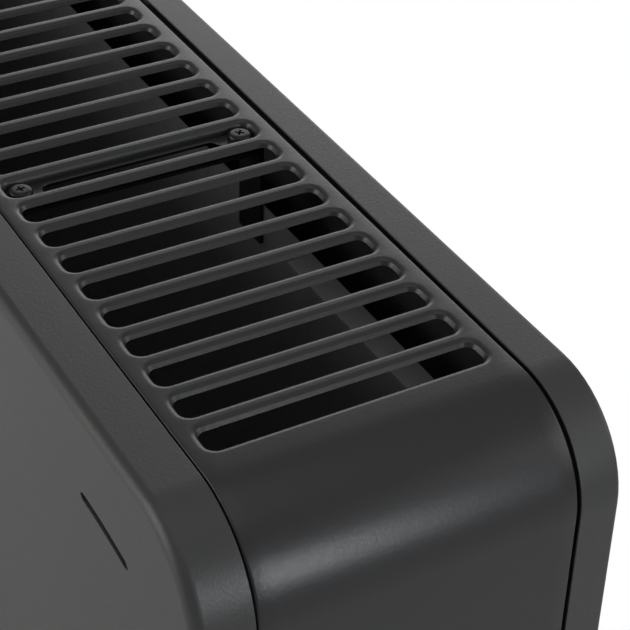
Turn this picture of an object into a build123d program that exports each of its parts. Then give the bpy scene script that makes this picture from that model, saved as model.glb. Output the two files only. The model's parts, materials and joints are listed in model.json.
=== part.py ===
"""Free-standing electric convector heater: a pressed grille band between two drawn steel covers.

Millimetres. X runs along the heater, the front face looks along -Y, Z is up.
The origin is on the floor, below the middle of the body.
"""

import os
from math import cos, radians, sin

from build123d import *

os.makedirs("parts", exist_ok=True)

# Overall body: the covers and the band between them are flush, and the feet lift them off the floor
body_length = 528.0
body_height = 356.0
body_corner = 29.0
floor_gap = 42.0
front_face_y = -60.0
rear_face_y = 60.0

# Drawn covers
sheet = 0.8
front_flange = 16.0
rear_flange = 12.1
front_groove = 0.5
rear_groove = 1.4
cover_edge_radius = 3.5
lap_gap = 1.2
lap_width = 9.0

# Grille band
slot_pitch = 14.0
slot_width = 9.9
slot_length = 80.0
slot_corner_cut = 1.9
slot_margin = 34.0
rim_depth = 2.0
lip_depth = 8.0
screw_slot_index = 9
pocket_depth = 3.2
short_slot_length = 57.8
short_slot_width = 6.8
grille_screw_spacing = 70.6
band_stub = 70.0

# Lens slits and the pressed field in the front cover
slit_length = 27.8
slit_width = 2.1
slit_tip = 3.0
slit_drop = 5.0
slit_sagitta = 0.6
slit_x = 213.0
slit_below_top = 29.2
field_width = 262.0
field_height = 246.0
field_corner = 60.0
field_below_top = 73.0
field_depth = 2.0

# Rear cover openings
hanger_spacing = 320.0
hanger_below_top = 68.0
hanger_hole = 10.0
hanger_neck = 5.0
hanger_rise = 12.0
vent_count = 12
vent_pitch = 14.0
vent_width = 5.0
vent_height = 42.0
vent_above_bottom = 28.0

# Bottom plate
plate_margin = 2.0
plate_fit = 0.3
plate_lip = 6.0
inlet_count = 15
inlet_pitch = 20.0
inlet_width = 8.0
inlet_length = 70.0

# Heat shields and their hangers
shield_sheet = 0.6
shield_top_gap = 24.5
shield_end_gap = 24.0
shield_flange = 8.0
shield_flange_length = 105.0
hanger_strip_sheet = 1.2
hanger_strip_width = 14.0
hanger_window_width = 8.4
hanger_leg = 34.0

# Heating elements
element_end_room = 100.0
element_core = 12.0
element_fin = 25.0
element_fin_sheet = 1.6
element_fin_angle = 30.0
element_low_z = 96.0
element_high_z = 146.0
rod_diameter = 8.0
rod_end = 14.0
bush_width = 16.0
bush_neck = 11.0
bush_hole = 11.1
bush_flange = 3.0
holder_sheet = 1.2
holder_height = 132.0
holder_foot = 14.0
holder_window_height = 66.0
holder_window_width = 11.0
bush_play = 0.3
terminal_width = 4.8
terminal_sheet = 0.8
terminal_length = 12.0

# Control recess in the right-hand end
panel_z = 215.0
panel_opening_width = 62.0
panel_opening_height = 112.0
panel_opening_corner = 8.0
panel_fit = 0.3
panel_flange_width = 5.0
panel_flange_thick = 1.6
panel_edge = 0.9
panel_wall = 2.2
panel_floor = 2.4
panel_recess = 15.0
panel_clip_width = 10.0
panel_clip_height = 1.4
panel_clip_run = 5.6

# Thermostat and its knob
knob_above_panel = 22.0
knob_diameter = 40.0
knob_skirt = 3.6
knob_crown_diameter = 35.0
knob_grip_width = 9.0
knob_lift = 2.4
knob_land = 1.2
knob_taper = 6.0
scoop_taper = 8.0
knob_height = 12.4
knob_bore_depth = 9.0
shaft_diameter = 6.0
shaft_flat = 1.2
shaft_clearance = 0.05
shaft_end_gap = 0.3
thermostat_bush = 10.0
thermostat_size = (16.0, 36.0, 34.0)
thermostat_screw_spacing = 26.0

# Rocker switches
rocker_spacing = 24.0
rocker_below_panel = 26.0
switch_bezel = (2.0, 15.2, 22.0)
switch_body = (17.0, 13.0, 19.6)
switch_cut_clearance = 0.1
bezel_edge = 0.6
rocker_cavity = (9.0, 10.6, 17.8)
rocker_width = 10.2
rocker_half_length = 7.9
rocker_reach = 5.1
rocker_dish = 0.9
rocker_depth = 3.0
rocker_heel = 5.0
rocker_pivot_below_bezel = 4.1
rocker_pin = 2.0
rocker_pin_length = 0.9
pin_end_gap = 0.1
rocker_side = 0.5
rocker_tilt = 10.0
tab_size = (9.0, 4.8, 0.8)
lamp_diameter = 6.0
lamp_flange = 8.0
lamp_below_panel = 6.0
lamp_dome = 1.6
lamp_tail = 6.0

# Small fittings
cutout_diameter = 16.0
cutout_thick = 7.0
cutout_ear = 26.0
cutout_plate = 1.0
block_size = (34.0, 22.0, 15.0)
block_gap = 2.0
block_edge = 1.0
block_pole_pitch = 10.0
clamp_inset = 1.0
clamp_width = 5.0
clamp_fit = 0.05
gland_z = 78.0
gland_bore = 7.5
gland_neck = 12.0
gland_flange = 19.0
gland_flange_thick = 1.8
gland_edge = 0.8
gland_inside = 11.0

# Feet
foot_from_end = 59.0
foot_width = 32.0
foot_reach = 98.0
foot_shoulder_radius = 27.0
foot_arch = 7.0
foot_plan_corner = 9.0
foot_cover_gap = 0.3
boss_gap = 0.5
foot_web = 6.0
screw_well = 10.0
foot_screw_spacing = 56.0
pad_height = 3.0
pad_length = 22.0
pad_width = 24.0
pad_inset = 3.0
pad_corner = 3.0

# Screws: head diameter, head height, shank diameter, length under the head
grille_screw = (7.2, 2.4, 3.2, 7.0)
cover_screw = (7.2, 2.4, 3.2, 7.0)
foot_screw = (8.0, 2.6, 3.8, 14.0)
thermostat_screw = (5.6, 1.8, 2.9, 7.0)
screw_clearance = 0.05
cover_screw_from_end = 92.0
dimple_length = 14.0
dimple_width = 7.0
dimple_rise = 90.0

# Places worked out from the sizes above
body_z = floor_gap + body_height / 2
band_top = floor_gap + body_height
band_end = body_length / 2
lap_drop = lap_gap + sheet
lap_bottom = floor_gap + lap_drop
element_length = body_length - 2 * element_end_room
foot_x = body_length / 2 - foot_from_end
cover_screw_x = body_length / 2 - cover_screw_from_end
front_seam = front_face_y + front_flange + front_groove
rear_seam = rear_face_y - rear_flange - rear_groove
band_front = front_seam - lap_width
band_rear = rear_seam + lap_width
grille_y = (front_seam + rear_seam) / 2
stub_inner = band_end - body_corner - band_stub
slot_half_run = band_end - slot_margin - slot_width / 2
slot_count = 2 * int(slot_half_run / slot_pitch) + 1
screw_slots = (screw_slot_index, slot_count - 1 - screw_slot_index)
slot_x = [(i - (slot_count - 1) / 2) * slot_pitch for i in range(slot_count)]
plain_slot_x = [x for i, x in enumerate(slot_x) if i not in screw_slots]
screw_slot_x = [slot_x[i] for i in screw_slots]
grille_screw_y = [grille_y - grille_screw_spacing / 2, grille_y + grille_screw_spacing / 2]
pocket_floor = band_top - pocket_depth
hanger_top = pocket_floor - sheet
shield_inner = slot_length / 2
shield_top = band_top - shield_top_gap
plate_under = lap_bottom + sheet
plate_top = plate_under + sheet
shield_half = band_end - shield_end_gap
holder_window_y = [grille_y - shield_inner / 2, grille_y + shield_inner / 2]
holder_x = element_length / 2 + rod_end - bush_neck + bush_flange
panel_face = band_end + panel_flange_thick
recess_floor = panel_face - panel_recess
knob_z = panel_z + knob_above_panel
switch_z = panel_z - rocker_below_panel
lamp_z = panel_z - lamp_below_panel
switch_y = [grille_y - rocker_spacing / 2, grille_y + rocker_spacing / 2]
pivot_x = recess_floor + switch_bezel[0] - rocker_pivot_below_bezel
lap_y = [front_seam - lap_width / 2, rear_seam + lap_width / 2]
cover_screw_places = [(x, y) for x in (-cover_screw_x, cover_screw_x) for y in lap_y]
foot_screw_y = [grille_y - foot_screw_spacing / 2, grille_y + foot_screw_spacing / 2]
foot_screw_places = [(x, y) for x in (-foot_x, foot_x) for y in foot_screw_y]
grille_screw_places = [(x, y) for x in screw_slot_x for y in grille_screw_y]
thermostat_screw_z = [knob_z - thermostat_screw_spacing / 2, knob_z + thermostat_screw_spacing / 2]


def facing_front(y):
    """Sketch plane at depth y: local x is X, local y is Z, its normal looks to the front."""
    return Plane.XZ.offset(-y)


def facing_right(x):
    """Sketch plane at x: local x is Y, local y is Z, its normal looks to the right-hand end."""
    return Plane.YZ.offset(x)


def at_height(z):
    """Level sketch plane at height z."""
    return Plane.XY.offset(z)


def finish(part, label):
    """Names a finished piece and writes it to its own file."""
    part.label = label
    export_step(part, f"parts/{label}.step")


def screw(size, seat, direction):
    """Pan-head screw whose head rests on seat and whose shank runs along direction."""
    head_diameter, head_height, shank, length = size
    with BuildPart() as one:
        with BuildSketch(Plane(origin=seat, z_dir=direction)):
            Circle(shank / 2)
        extrude(amount=length)
        with BuildSketch(Plane(origin=seat, z_dir=tuple(-d for d in direction))):
            Circle(head_diameter / 2)
        extrude(amount=head_height)
    return one.part


def screws(size, seats, direction):
    """A set of like screws as separate solids."""
    with BuildPart() as group:
        for seat in seats:
            add(screw(size, seat, direction))
    return group.part


def drawn_pan(face_y, inward):
    """Drawn steel pan: flat face, rounded edge and a flange all round, open on the inner side."""
    with BuildPart() as pan:
        with BuildSketch(facing_front(face_y)):
            with Locations((0, body_z)):
                RectangleRounded(body_length, body_height, body_corner)
        extrude(amount=inward)
        face, open_side = pan.faces().sort_by(Axis.Y)[0], pan.faces().sort_by(Axis.Y)[-1]
        if inward > 0:
            face, open_side = open_side, face
        fillet(face.edges(), cover_edge_radius)
        open_side = pan.faces().sort_by(Axis.Y)[0 if inward > 0 else -1]
        offset(amount=-sheet, openings=open_side)
    return pan.part


def slit_outline(side):
    """Outline of a slit that bows upwards and falls towards the end of the heater."""
    drop = radians(slit_drop)
    middle = Vector(side * slit_x, band_top - slit_below_top)
    along = Vector(side * cos(drop), -sin(drop))
    across = Vector(side * sin(drop), cos(drop))

    def point(run, rise):
        return middle + along * run + across * rise

    half, body, wide = slit_length / 2, slit_length / 2 - slit_tip, slit_width / 2
    with BuildLine() as line:
        ThreePointArc(point(-body, wide), point(0, wide + slit_sagitta), point(body, wide))
        Line(point(body, wide), point(half, 0))
        Line(point(half, 0), point(body, -wide))
        ThreePointArc(point(body, -wide), point(0, slit_sagitta - wide), point(-body, -wide))
        Line(point(-body, -wide), point(-half, 0))
        Line(point(-half, 0), point(-body, wide))
    return line


# Front cover, with a pressed field and a lens slit near each top corner
field_z = band_top - field_below_top - field_height / 2
with BuildPart() as front_cover:
    add(drawn_pan(front_face_y, -front_flange))
    with BuildSketch(facing_front(front_face_y + sheet)):
        with Locations((0, field_z)):
            RectangleRounded(field_width, field_height, field_corner)
    extrude(amount=-field_depth, taper=45)
    with BuildSketch(facing_front(front_face_y)):
        with Locations((0, field_z)):
            RectangleRounded(field_width, field_height, field_corner)
    extrude(amount=-field_depth, taper=45, mode=Mode.SUBTRACT)
    for side in (-1, 1):
        outline = slit_outline(side)
        with BuildSketch(facing_front(front_face_y)):
            with BuildLine():
                add(outline.line)
            make_face()
        extrude(amount=-3 * sheet, mode=Mode.SUBTRACT)
    with BuildSketch(at_height(floor_gap)):
        with Locations((-cover_screw_x, lap_y[0]), (cover_screw_x, lap_y[0])):
            Circle(cover_screw[2] / 2 + screw_clearance)
    extrude(amount=sheet, mode=Mode.SUBTRACT)
finish(front_cover.part, "front_cover")

# Rear cover, with two wall hanging keyholes and a row of air inlets
with BuildPart() as rear_cover:
    add(drawn_pan(rear_face_y, rear_flange))
    hanger_z = band_top - hanger_below_top
    with BuildSketch(facing_front(rear_face_y)):
        with Locations((-hanger_spacing / 2, hanger_z), (hanger_spacing / 2, hanger_z)):
            Circle(hanger_hole / 2)
        with Locations(
            (-hanger_spacing / 2, hanger_z + hanger_rise / 2),
            (hanger_spacing / 2, hanger_z + hanger_rise / 2),
        ):
            SlotCenterToCenter(hanger_rise, hanger_neck, rotation=90)
        vent_z = floor_gap + vent_above_bottom + vent_height / 2
        with Locations((0, vent_z)):
            with GridLocations(vent_pitch, 0, vent_count, 1):
                Rectangle(vent_width, vent_height)
    extrude(amount=sheet, mode=Mode.SUBTRACT)
    with BuildSketch(at_height(floor_gap)):
        with Locations((-cover_screw_x, lap_y[1]), (cover_screw_x, lap_y[1])):
            Circle(cover_screw[2] / 2 + screw_clearance)
    extrude(amount=sheet, mode=Mode.SUBTRACT)
finish(rear_cover.part, "rear_cover")


def slot_opening():
    """Outline of one grille slot, its corners cut off."""
    with BuildSketch(mode=Mode.PRIVATE) as slot:
        Rectangle(slot_width, slot_length)
        chamfer(slot.vertices(), slot_corner_cut)
    return slot.sketch


def band_ring(outer, inner):
    """Frame between two rounded outlines, each drawn in from the body's."""
    with Locations((0, body_z)):
        for inset, mode in ((outer, Mode.ADD), (inner, Mode.SUBTRACT)):
            RectangleRounded(
                body_length - 2 * inset, body_height - 2 * inset, body_corner - inset, mode=mode
            )


# Grille band: one sheet round the top, both ends and the bottom corners, flush with the covers
with BuildPart() as grille_band:
    with BuildSketch(facing_front(rear_seam)):
        band_ring(0, sheet)
    extrude(amount=rear_seam - front_seam)
    # Beyond each seam the sheet steps in under the cover's flange and ends in a lip
    for seam, edge in ((front_seam, band_front), (rear_seam, band_rear)):
        step_y, lip_y = (seam + sheet, edge + sheet) if edge < seam else (seam, edge)
        with BuildSketch(facing_front(step_y)):
            band_ring(0, lap_drop + sheet)
        extrude(amount=sheet)
        with BuildSketch(facing_front(max(seam, edge))):
            band_ring(lap_drop, lap_drop + sheet)
        extrude(amount=lap_width)
        with BuildSketch(facing_front(lip_y)):
            band_ring(lap_drop, lip_depth)
        extrude(amount=sheet)
    # The sheet stops short of the middle of the bottom, where the bottom plate takes over
    with BuildSketch(at_height(floor_gap)):
        with Locations((0, grille_y)):
            Rectangle(2 * stub_inner, 2 * (rear_face_y - front_face_y))
    extrude(amount=lap_drop + 2 * lip_depth, mode=Mode.SUBTRACT)
    # Rims turned down round every slot
    with BuildSketch(at_height(band_top - rim_depth)):
        with Locations(*[(x, grille_y) for x in plain_slot_x]):
            Rectangle(slot_width + 2 * sheet, slot_length + 2 * sheet)
    extrude(amount=rim_depth - sheet)
    with BuildSketch(at_height(hanger_top)):
        with Locations(*[(x, grille_y) for x in screw_slot_x]):
            Rectangle(slot_width + 2 * sheet, slot_length + 2 * sheet)
    extrude(amount=pocket_depth)
    with BuildSketch(at_height(band_top)):
        with Locations(*[(x, grille_y) for x in plain_slot_x]):
            add(slot_opening())
    extrude(amount=-rim_depth, mode=Mode.SUBTRACT)
    # The two screw slots have a sunk floor with a shorter slot between the screws
    with BuildSketch(at_height(band_top)):
        with Locations(*[(x, grille_y) for x in screw_slot_x]):
            add(slot_opening())
    extrude(amount=-pocket_depth, mode=Mode.SUBTRACT)
    with BuildSketch(at_height(pocket_floor)):
        with Locations(*[(x, grille_y) for x in screw_slot_x]):
            SlotOverall(short_slot_length, short_slot_width, rotation=90)
        with Locations(*grille_screw_places):
            Circle(grille_screw[2] / 2 + screw_clearance)
    extrude(amount=-sheet, mode=Mode.SUBTRACT)
    # Pressed pads that space the covers' flanges off the band
    with BuildSketch(at_height(band_top - lap_drop)):
        with Locations(*[(x, y) for x in (-slot_x[-2], 0, slot_x[-2]) for y in lap_y]):
            Rectangle(dimple_length, dimple_width)
    extrude(amount=lap_gap)
    with BuildSketch(at_height(lap_bottom)):
        with Locations(*cover_screw_places):
            Rectangle(dimple_length, dimple_width)
    extrude(amount=-lap_gap)
    for end in (-1, 1):
        with BuildSketch(facing_right(end * (band_end - lap_drop))):
            with Locations(*[(y, body_z + rise) for y in lap_y for rise in (-dimple_rise, dimple_rise)]):
                Rectangle(dimple_width, dimple_length)
        extrude(amount=end * lap_gap)
    # Screw holes in the bottom stubs
    with BuildSketch(at_height(floor_gap)):
        with Locations(*cover_screw_places):
            Circle(cover_screw[2] / 2 + screw_clearance)
        with Locations(*foot_screw_places):
            Circle(foot_screw[2] / 2 + screw_clearance)
    extrude(amount=lap_drop + sheet, mode=Mode.SUBTRACT)
    # Control panel opening and cord gland hole in the right-hand end
    with BuildSketch(facing_right(band_end)):
        with Locations((grille_y, panel_z)):
            RectangleRounded(panel_opening_width, panel_opening_height, panel_opening_corner)
        with Locations((grille_y, gland_z)):
            Circle(gland_neck / 2 + screw_clearance)
    extrude(amount=-sheet, mode=Mode.SUBTRACT)
finish(grille_band.part, "grille_band")

# Bottom plate: a tray with turned-up edges and a row of air inlets
plate_half = band_end - body_corner - plate_margin
plate_front = band_front + sheet + plate_fit
plate_rear = band_rear - sheet - plate_fit
plate_depth = plate_rear - plate_front
plate_y = (plate_front + plate_rear) / 2
with BuildPart() as bottom_plate:
    with BuildSketch(at_height(plate_under)):
        with Locations((0, plate_y)):
            Rectangle(2 * plate_half, plate_depth)
    extrude(amount=sheet)
    for edge_y in (plate_front + sheet / 2, plate_rear - sheet / 2):
        with BuildSketch(at_height(plate_under)):
            with Locations((0, edge_y)):
                Rectangle(2 * plate_half, sheet)
        extrude(amount=plate_lip)
    with BuildSketch(at_height(plate_under)):
        with Locations((0, grille_y)):
            with GridLocations(inlet_pitch, 0, inlet_count, 1):
                Rectangle(inlet_width, inlet_length)
        with Locations(*cover_screw_places):
            Circle(cover_screw[2] / 2 + screw_clearance)
        with Locations(*foot_screw_places):
            Circle(foot_screw[2] / 2 + screw_clearance)
    extrude(amount=sheet, mode=Mode.SUBTRACT)
finish(bottom_plate.part, "bottom_plate")

# Screws that hold the grille band to the two hanger strips
finish(
    screws(grille_screw, [(x, y, pocket_floor) for x, y in grille_screw_places], (0, 0, -1)),
    "grille_screws",
)
finish(screws(cover_screw, [(x, y, floor_gap) for x, y in cover_screw_places], (0, 0, 1)), "cover_screws")

# Hanger strips under the screw slots: a window for the air and two legs for the shields
for side, name in ((-1, "hanger_strip_left"), (1, "hanger_strip_right")):
    strip_x = side * abs(screw_slot_x[0])
    with BuildPart() as hanger_strip:
        with BuildSketch(at_height(hanger_top)):
            with Locations((strip_x, grille_y)):
                Rectangle(hanger_strip_width, 2 * shield_inner)
                Rectangle(hanger_window_width, short_slot_length, mode=Mode.SUBTRACT)
            with Locations(*[(strip_x, y) for y in grille_screw_y]):
                Circle(grille_screw[2] / 2 + screw_clearance, mode=Mode.SUBTRACT)
        extrude(amount=-hanger_strip_sheet)
        with BuildSketch(at_height(hanger_top)):
            leg_y = shield_inner - hanger_strip_sheet / 2
            with Locations((strip_x, grille_y - leg_y), (strip_x, grille_y + leg_y)):
                Rectangle(hanger_strip_width, hanger_strip_sheet)
        extrude(amount=-hanger_leg)
    finish(hanger_strip.part, name)


def heat_shield(face_y, outward):
    """Thin sheet along the duct, with a short flange turned in at each end of its top edge."""
    tab_x = shield_half - shield_flange_length / 2
    with BuildPart() as shield:
        with BuildSketch(at_height(plate_top)):
            with Locations((0, face_y + outward * shield_sheet / 2)):
                Rectangle(2 * shield_half, shield_sheet)
        extrude(amount=shield_top - plate_top)
        with BuildSketch(at_height(shield_top)):
            with Locations(*[(x, face_y - outward * shield_flange / 2) for x in (-tab_x, tab_x)]):
                Rectangle(shield_flange_length, shield_flange)
            with Locations(*[(x, face_y + outward * shield_sheet / 2) for x in (-tab_x, tab_x)]):
                Rectangle(shield_flange_length, shield_sheet)
        extrude(amount=-shield_sheet)
    return shield.part


finish(heat_shield(grille_y - shield_inner, -1), "front_shield")
finish(heat_shield(grille_y + shield_inner, 1), "rear_shield")


def fin_profile(z):
    """X-shaped section of a cast-on fin body."""
    with Locations((grille_y, z)):
        Circle(element_core / 2)
        for angle in (element_fin_angle, -element_fin_angle):
            Rectangle(2 * element_fin, element_fin_sheet, rotation=angle)
        Circle(rod_diameter / 2, mode=Mode.SUBTRACT)


element_heights = (("low", element_low_z), ("high", element_high_z))
for level, z in element_heights:
    with BuildPart() as element_fins:
        with BuildSketch(facing_right(-element_length / 2)):
            fin_profile(z)
        extrude(amount=element_length)
    finish(element_fins.part, f"element_fins_{level}")
    with BuildPart() as element_rod:
        with BuildSketch(facing_right(-element_length / 2 - rod_end)):
            with Locations((grille_y, z)):
                Circle(rod_diameter / 2)
        extrude(amount=element_length + 2 * rod_end)
        for side in (-1, 1):
            with BuildSketch(facing_right(side * (element_length / 2 + rod_end))):
                with Locations((grille_y, z)):
                    Rectangle(terminal_width, terminal_sheet)
            extrude(amount=side * terminal_length)
    finish(element_rod.part, f"element_rod_{level}")

# Ceramic bushes that carry the rods in the holders
with BuildPart() as ceramic_bushes:
    for level, z in element_heights:
        for side in (-1, 1):
            inner = element_length / 2 + bush_play
            with BuildSketch(facing_right(side * inner)):
                with Locations((grille_y, z)):
                    Rectangle(bush_width, bush_width)
                    Circle(rod_diameter / 2, mode=Mode.SUBTRACT)
            extrude(amount=side * (holder_x - inner))
            with BuildSketch(facing_right(side * holder_x)):
                with Locations((grille_y, z)):
                    Rectangle(bush_neck, bush_neck)
                    Circle(rod_diameter / 2, mode=Mode.SUBTRACT)
            extrude(amount=side * (element_length / 2 + rod_end - holder_x))
finish(ceramic_bushes.part, "ceramic_bushes")

# Element holders: stamped plates that stand on the bottom plate between the shields
for side, name in ((-1, "element_holder_left"), (1, "element_holder_right")):
    with BuildPart() as element_holder:
        with BuildSketch(facing_right(side * holder_x)):
            with Locations((grille_y, plate_top + holder_height / 2)):
                Rectangle(2 * shield_inner, holder_height)
            with Locations(*[(grille_y, z) for level, z in element_heights]):
                Rectangle(bush_hole, bush_hole, mode=Mode.SUBTRACT)
            with Locations(*[(y, (element_low_z + element_high_z) / 2) for y in holder_window_y]):
                Rectangle(holder_window_width, holder_window_height, mode=Mode.SUBTRACT)
        extrude(amount=side * holder_sheet)
        with BuildSketch(at_height(plate_top)):
            with Locations((side * (holder_x + holder_foot / 2), grille_y)):
                Rectangle(holder_foot, 2 * shield_inner)
        extrude(amount=holder_sheet)
    finish(element_holder.part, name)

# Thermal cut-out on the outer side of the right-hand holder, above the elements
cutout_x = holder_x + holder_sheet
cutout_z = plate_top + holder_height - cutout_diameter
cutout_tab_y = [grille_y - block_pole_pitch / 2, grille_y + block_pole_pitch / 2]
with BuildPart() as thermal_cutout:
    with BuildSketch(facing_right(cutout_x)):
        with Locations((grille_y, cutout_z)):
            Rectangle(cutout_ear, cutout_diameter / 2)
    extrude(amount=cutout_plate)
    with BuildSketch(facing_right(cutout_x + cutout_plate)):
        with Locations((grille_y, cutout_z)):
            Circle(cutout_diameter / 2)
    extrude(amount=cutout_thick)
    with BuildSketch(facing_right(cutout_x + cutout_plate + cutout_thick)):
        with Locations(*[(y, cutout_z) for y in cutout_tab_y]):
            Rectangle(tab_size[2], tab_size[1])
    extrude(amount=tab_size[0])
finish(thermal_cutout.part, "thermal_cutout")

# Control panel: a moulded recess let into the right-hand end
shell_width = panel_opening_width - 2 * panel_fit
shell_height = panel_opening_height - 2 * panel_fit
pocket_width = shell_width - 2 * panel_wall
pocket_height = shell_height - 2 * panel_wall
with BuildPart() as control_panel:
    with BuildSketch(facing_right(band_end)):
        with Locations((grille_y, panel_z)):
            RectangleRounded(
                panel_opening_width + 2 * panel_flange_width,
                panel_opening_height + 2 * panel_flange_width,
                panel_opening_corner + panel_flange_width,
            )
    extrude(amount=panel_flange_thick)
    chamfer(control_panel.faces().sort_by(Axis.X)[-1].edges(), panel_edge)
    with BuildSketch(facing_right(recess_floor - panel_floor)):
        with Locations((grille_y, panel_z)):
            RectangleRounded(shell_width, shell_height, panel_opening_corner - panel_fit)
    extrude(amount=panel_recess + panel_floor - panel_flange_thick)
    with BuildSketch(facing_right(recess_floor)):
        with Locations((grille_y, panel_z)):
            RectangleRounded(pocket_width, pocket_height, panel_opening_corner - panel_fit - panel_wall)
    extrude(amount=panel_recess, mode=Mode.SUBTRACT)
    with BuildSketch(facing_right(recess_floor)):
        with Locations((grille_y, knob_z)):
            Circle(thermostat_bush / 2 + screw_clearance)
        with Locations(*[(grille_y, z) for z in thermostat_screw_z]):
            Circle(thermostat_screw[2] / 2 + screw_clearance)
        with Locations(*[(y, switch_z) for y in switch_y]):
            Rectangle(switch_body[1] + 2 * switch_cut_clearance, switch_body[2] + 2 * switch_cut_clearance)
        with Locations((grille_y, lamp_z)):
            Circle(lamp_diameter / 2 + screw_clearance)
    extrude(amount=-panel_floor, mode=Mode.SUBTRACT)
    # Snap clips behind the band's sheet, above and below
    for side in (-1, 1):
        clip_root = panel_z + side * shell_height / 2
        with BuildSketch(facing_front(grille_y + panel_clip_width / 2)):
            with BuildLine():
                Polyline(
                    (band_end - sheet, clip_root - side * panel_wall / 2),
                    (band_end - sheet, clip_root + side * panel_clip_height),
                    (band_end - sheet - panel_clip_run, clip_root - side * panel_wall / 2),
                    close=True,
                )
            make_face()
        extrude(amount=panel_clip_width)
finish(control_panel.part, "control_panel")

# Thermostat body with its threaded bush
body_depth, body_width, body_tall = thermostat_size
with BuildPart() as thermostat_body:
    with BuildSketch(facing_right(recess_floor - panel_floor)):
        with Locations((grille_y, knob_z)):
            Rectangle(body_width, body_tall)
    extrude(amount=-body_depth)
    with BuildSketch(facing_right(recess_floor - panel_floor)):
        with Locations((grille_y, knob_z)):
            Circle(thermostat_bush / 2)
    extrude(amount=panel_floor)
    with BuildSketch(facing_right(recess_floor)):
        with Locations((grille_y, knob_z)):
            Circle(shaft_diameter / 2 + shaft_clearance)
    extrude(amount=-panel_floor - body_depth / 2, mode=Mode.SUBTRACT)
    with BuildSketch(facing_right(recess_floor - panel_floor)):
        with Locations(*[(grille_y, z) for z in thermostat_screw_z]):
            Circle(thermostat_screw[2] / 2 + screw_clearance)
    extrude(amount=-body_depth / 2, mode=Mode.SUBTRACT)
    with BuildSketch(facing_right(recess_floor - panel_floor - body_depth)):
        with Locations((grille_y - body_width / 4, knob_z), (grille_y + body_width / 4, knob_z)):
            Rectangle(tab_size[2], tab_size[1])
    extrude(amount=-tab_size[0])
finish(thermostat_body.part, "thermostat_body")
finish(
    screws(
        thermostat_screw,
        [(recess_floor, grille_y, z) for z in thermostat_screw_z],
        (-1, 0, 0),
    ),
    "thermostat_screws",
)

# Thermostat shaft with its flat, turning with the knob
shaft_back = recess_floor - panel_floor - body_depth / 2 + shaft_end_gap
knob_back = recess_floor + knob_lift
shaft_tip = knob_back + knob_bore_depth
with BuildPart() as thermostat_shaft:
    with BuildSketch(facing_right(shaft_back)):
        with Locations((grille_y, knob_z)):
            Circle(shaft_diameter / 2)
    extrude(amount=shaft_tip - shaft_back)
    with BuildSketch(facing_right(knob_back)):
        with Locations((grille_y, knob_z + shaft_diameter / 2)):
            Rectangle(shaft_diameter, 2 * shaft_flat)
    extrude(amount=shaft_tip - knob_back, mode=Mode.SUBTRACT)
finish(thermostat_shaft.part, "thermostat_shaft")

# Thermostat knob: skirt, tapered crown and a grip bar across it
with BuildPart() as thermostat_knob:
    with BuildSketch(facing_right(knob_back)):
        with Locations((grille_y, knob_z)):
            Circle(knob_diameter / 2)
    extrude(amount=knob_skirt)
    with BuildSketch(facing_right(knob_back + knob_skirt)):
        with Locations((grille_y, knob_z)):
            Circle(knob_crown_diameter / 2)
    extrude(amount=knob_height - knob_skirt, taper=knob_taper)
    # Two scoops leave the bar standing between them
    scoop_depth = knob_height - knob_skirt - knob_land
    for side in (-1, 1):
        with BuildSketch(facing_right(knob_back + knob_height)):
            with Locations((grille_y + side * (knob_grip_width / 2 + knob_diameter / 2), knob_z)):
                Rectangle(knob_diameter, 1.2 * knob_diameter)
        extrude(amount=-scoop_depth, taper=scoop_taper, mode=Mode.SUBTRACT)
    with BuildSketch(facing_right(knob_back)):
        with Locations((grille_y, knob_z)):
            Circle(shaft_diameter / 2 + shaft_clearance)
        with Locations((grille_y, knob_z + shaft_diameter / 2 + shaft_clearance)):
            Rectangle(2 * shaft_diameter, 2 * shaft_flat, mode=Mode.SUBTRACT)
    extrude(amount=knob_bore_depth + shaft_clearance, mode=Mode.SUBTRACT)
finish(thermostat_knob.part, "thermostat_knob")


def switch_housing(y):
    """Snap-in switch case with a framed cavity and two pivot holes for its rocker."""
    bezel_face = recess_floor + switch_bezel[0]
    with BuildPart() as housing:
        with BuildSketch(facing_right(recess_floor)):
            with Locations((y, switch_z)):
                Rectangle(switch_bezel[1], switch_bezel[2])
        extrude(amount=switch_bezel[0])
        chamfer(housing.faces().sort_by(Axis.X)[-1].edges(), bezel_edge)
        with BuildSketch(facing_right(recess_floor)):
            with Locations((y, switch_z)):
                Rectangle(switch_body[1], switch_body[2])
        extrude(amount=-switch_body[0])
        with BuildSketch(facing_right(bezel_face)):
            with Locations((y, switch_z)):
                Rectangle(rocker_cavity[1], rocker_cavity[2])
        extrude(amount=-rocker_cavity[0], mode=Mode.SUBTRACT)
        with BuildSketch(facing_front(y)):
            with Locations((pivot_x, switch_z)):
                Circle(rocker_pin / 2 + shaft_clearance)
        extrude(amount=rocker_width / 2 + rocker_pin_length + pin_end_gap, both=True, mode=Mode.SUBTRACT)
    return housing.part


def rocker(y):
    """Rocker with a dished face and two pins, shown with its lower end pressed in."""
    with BuildPart() as one:
        with BuildSketch(facing_front(y)):
            with BuildLine():
                Polyline(
                    (pivot_x + rocker_reach, switch_z + rocker_half_length),
                    (pivot_x + rocker_reach - rocker_dish, switch_z),
                    (pivot_x + rocker_reach, switch_z - rocker_half_length),
                    (pivot_x - rocker_side, switch_z - rocker_half_length),
                    (pivot_x - rocker_depth, switch_z - rocker_heel),
                    (pivot_x - rocker_depth, switch_z + rocker_heel),
                    (pivot_x - rocker_side, switch_z + rocker_half_length),
                    close=True,
                )
            make_face()
        extrude(amount=rocker_width / 2, both=True)
        with BuildSketch(facing_front(y)):
            with Locations((pivot_x, switch_z)):
                Circle(rocker_pin / 2)
        extrude(amount=rocker_width / 2 + rocker_pin_length, both=True)
    return one.part.rotate(Axis((pivot_x, y, switch_z), (0, 1, 0)), rocker_tilt)


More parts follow.
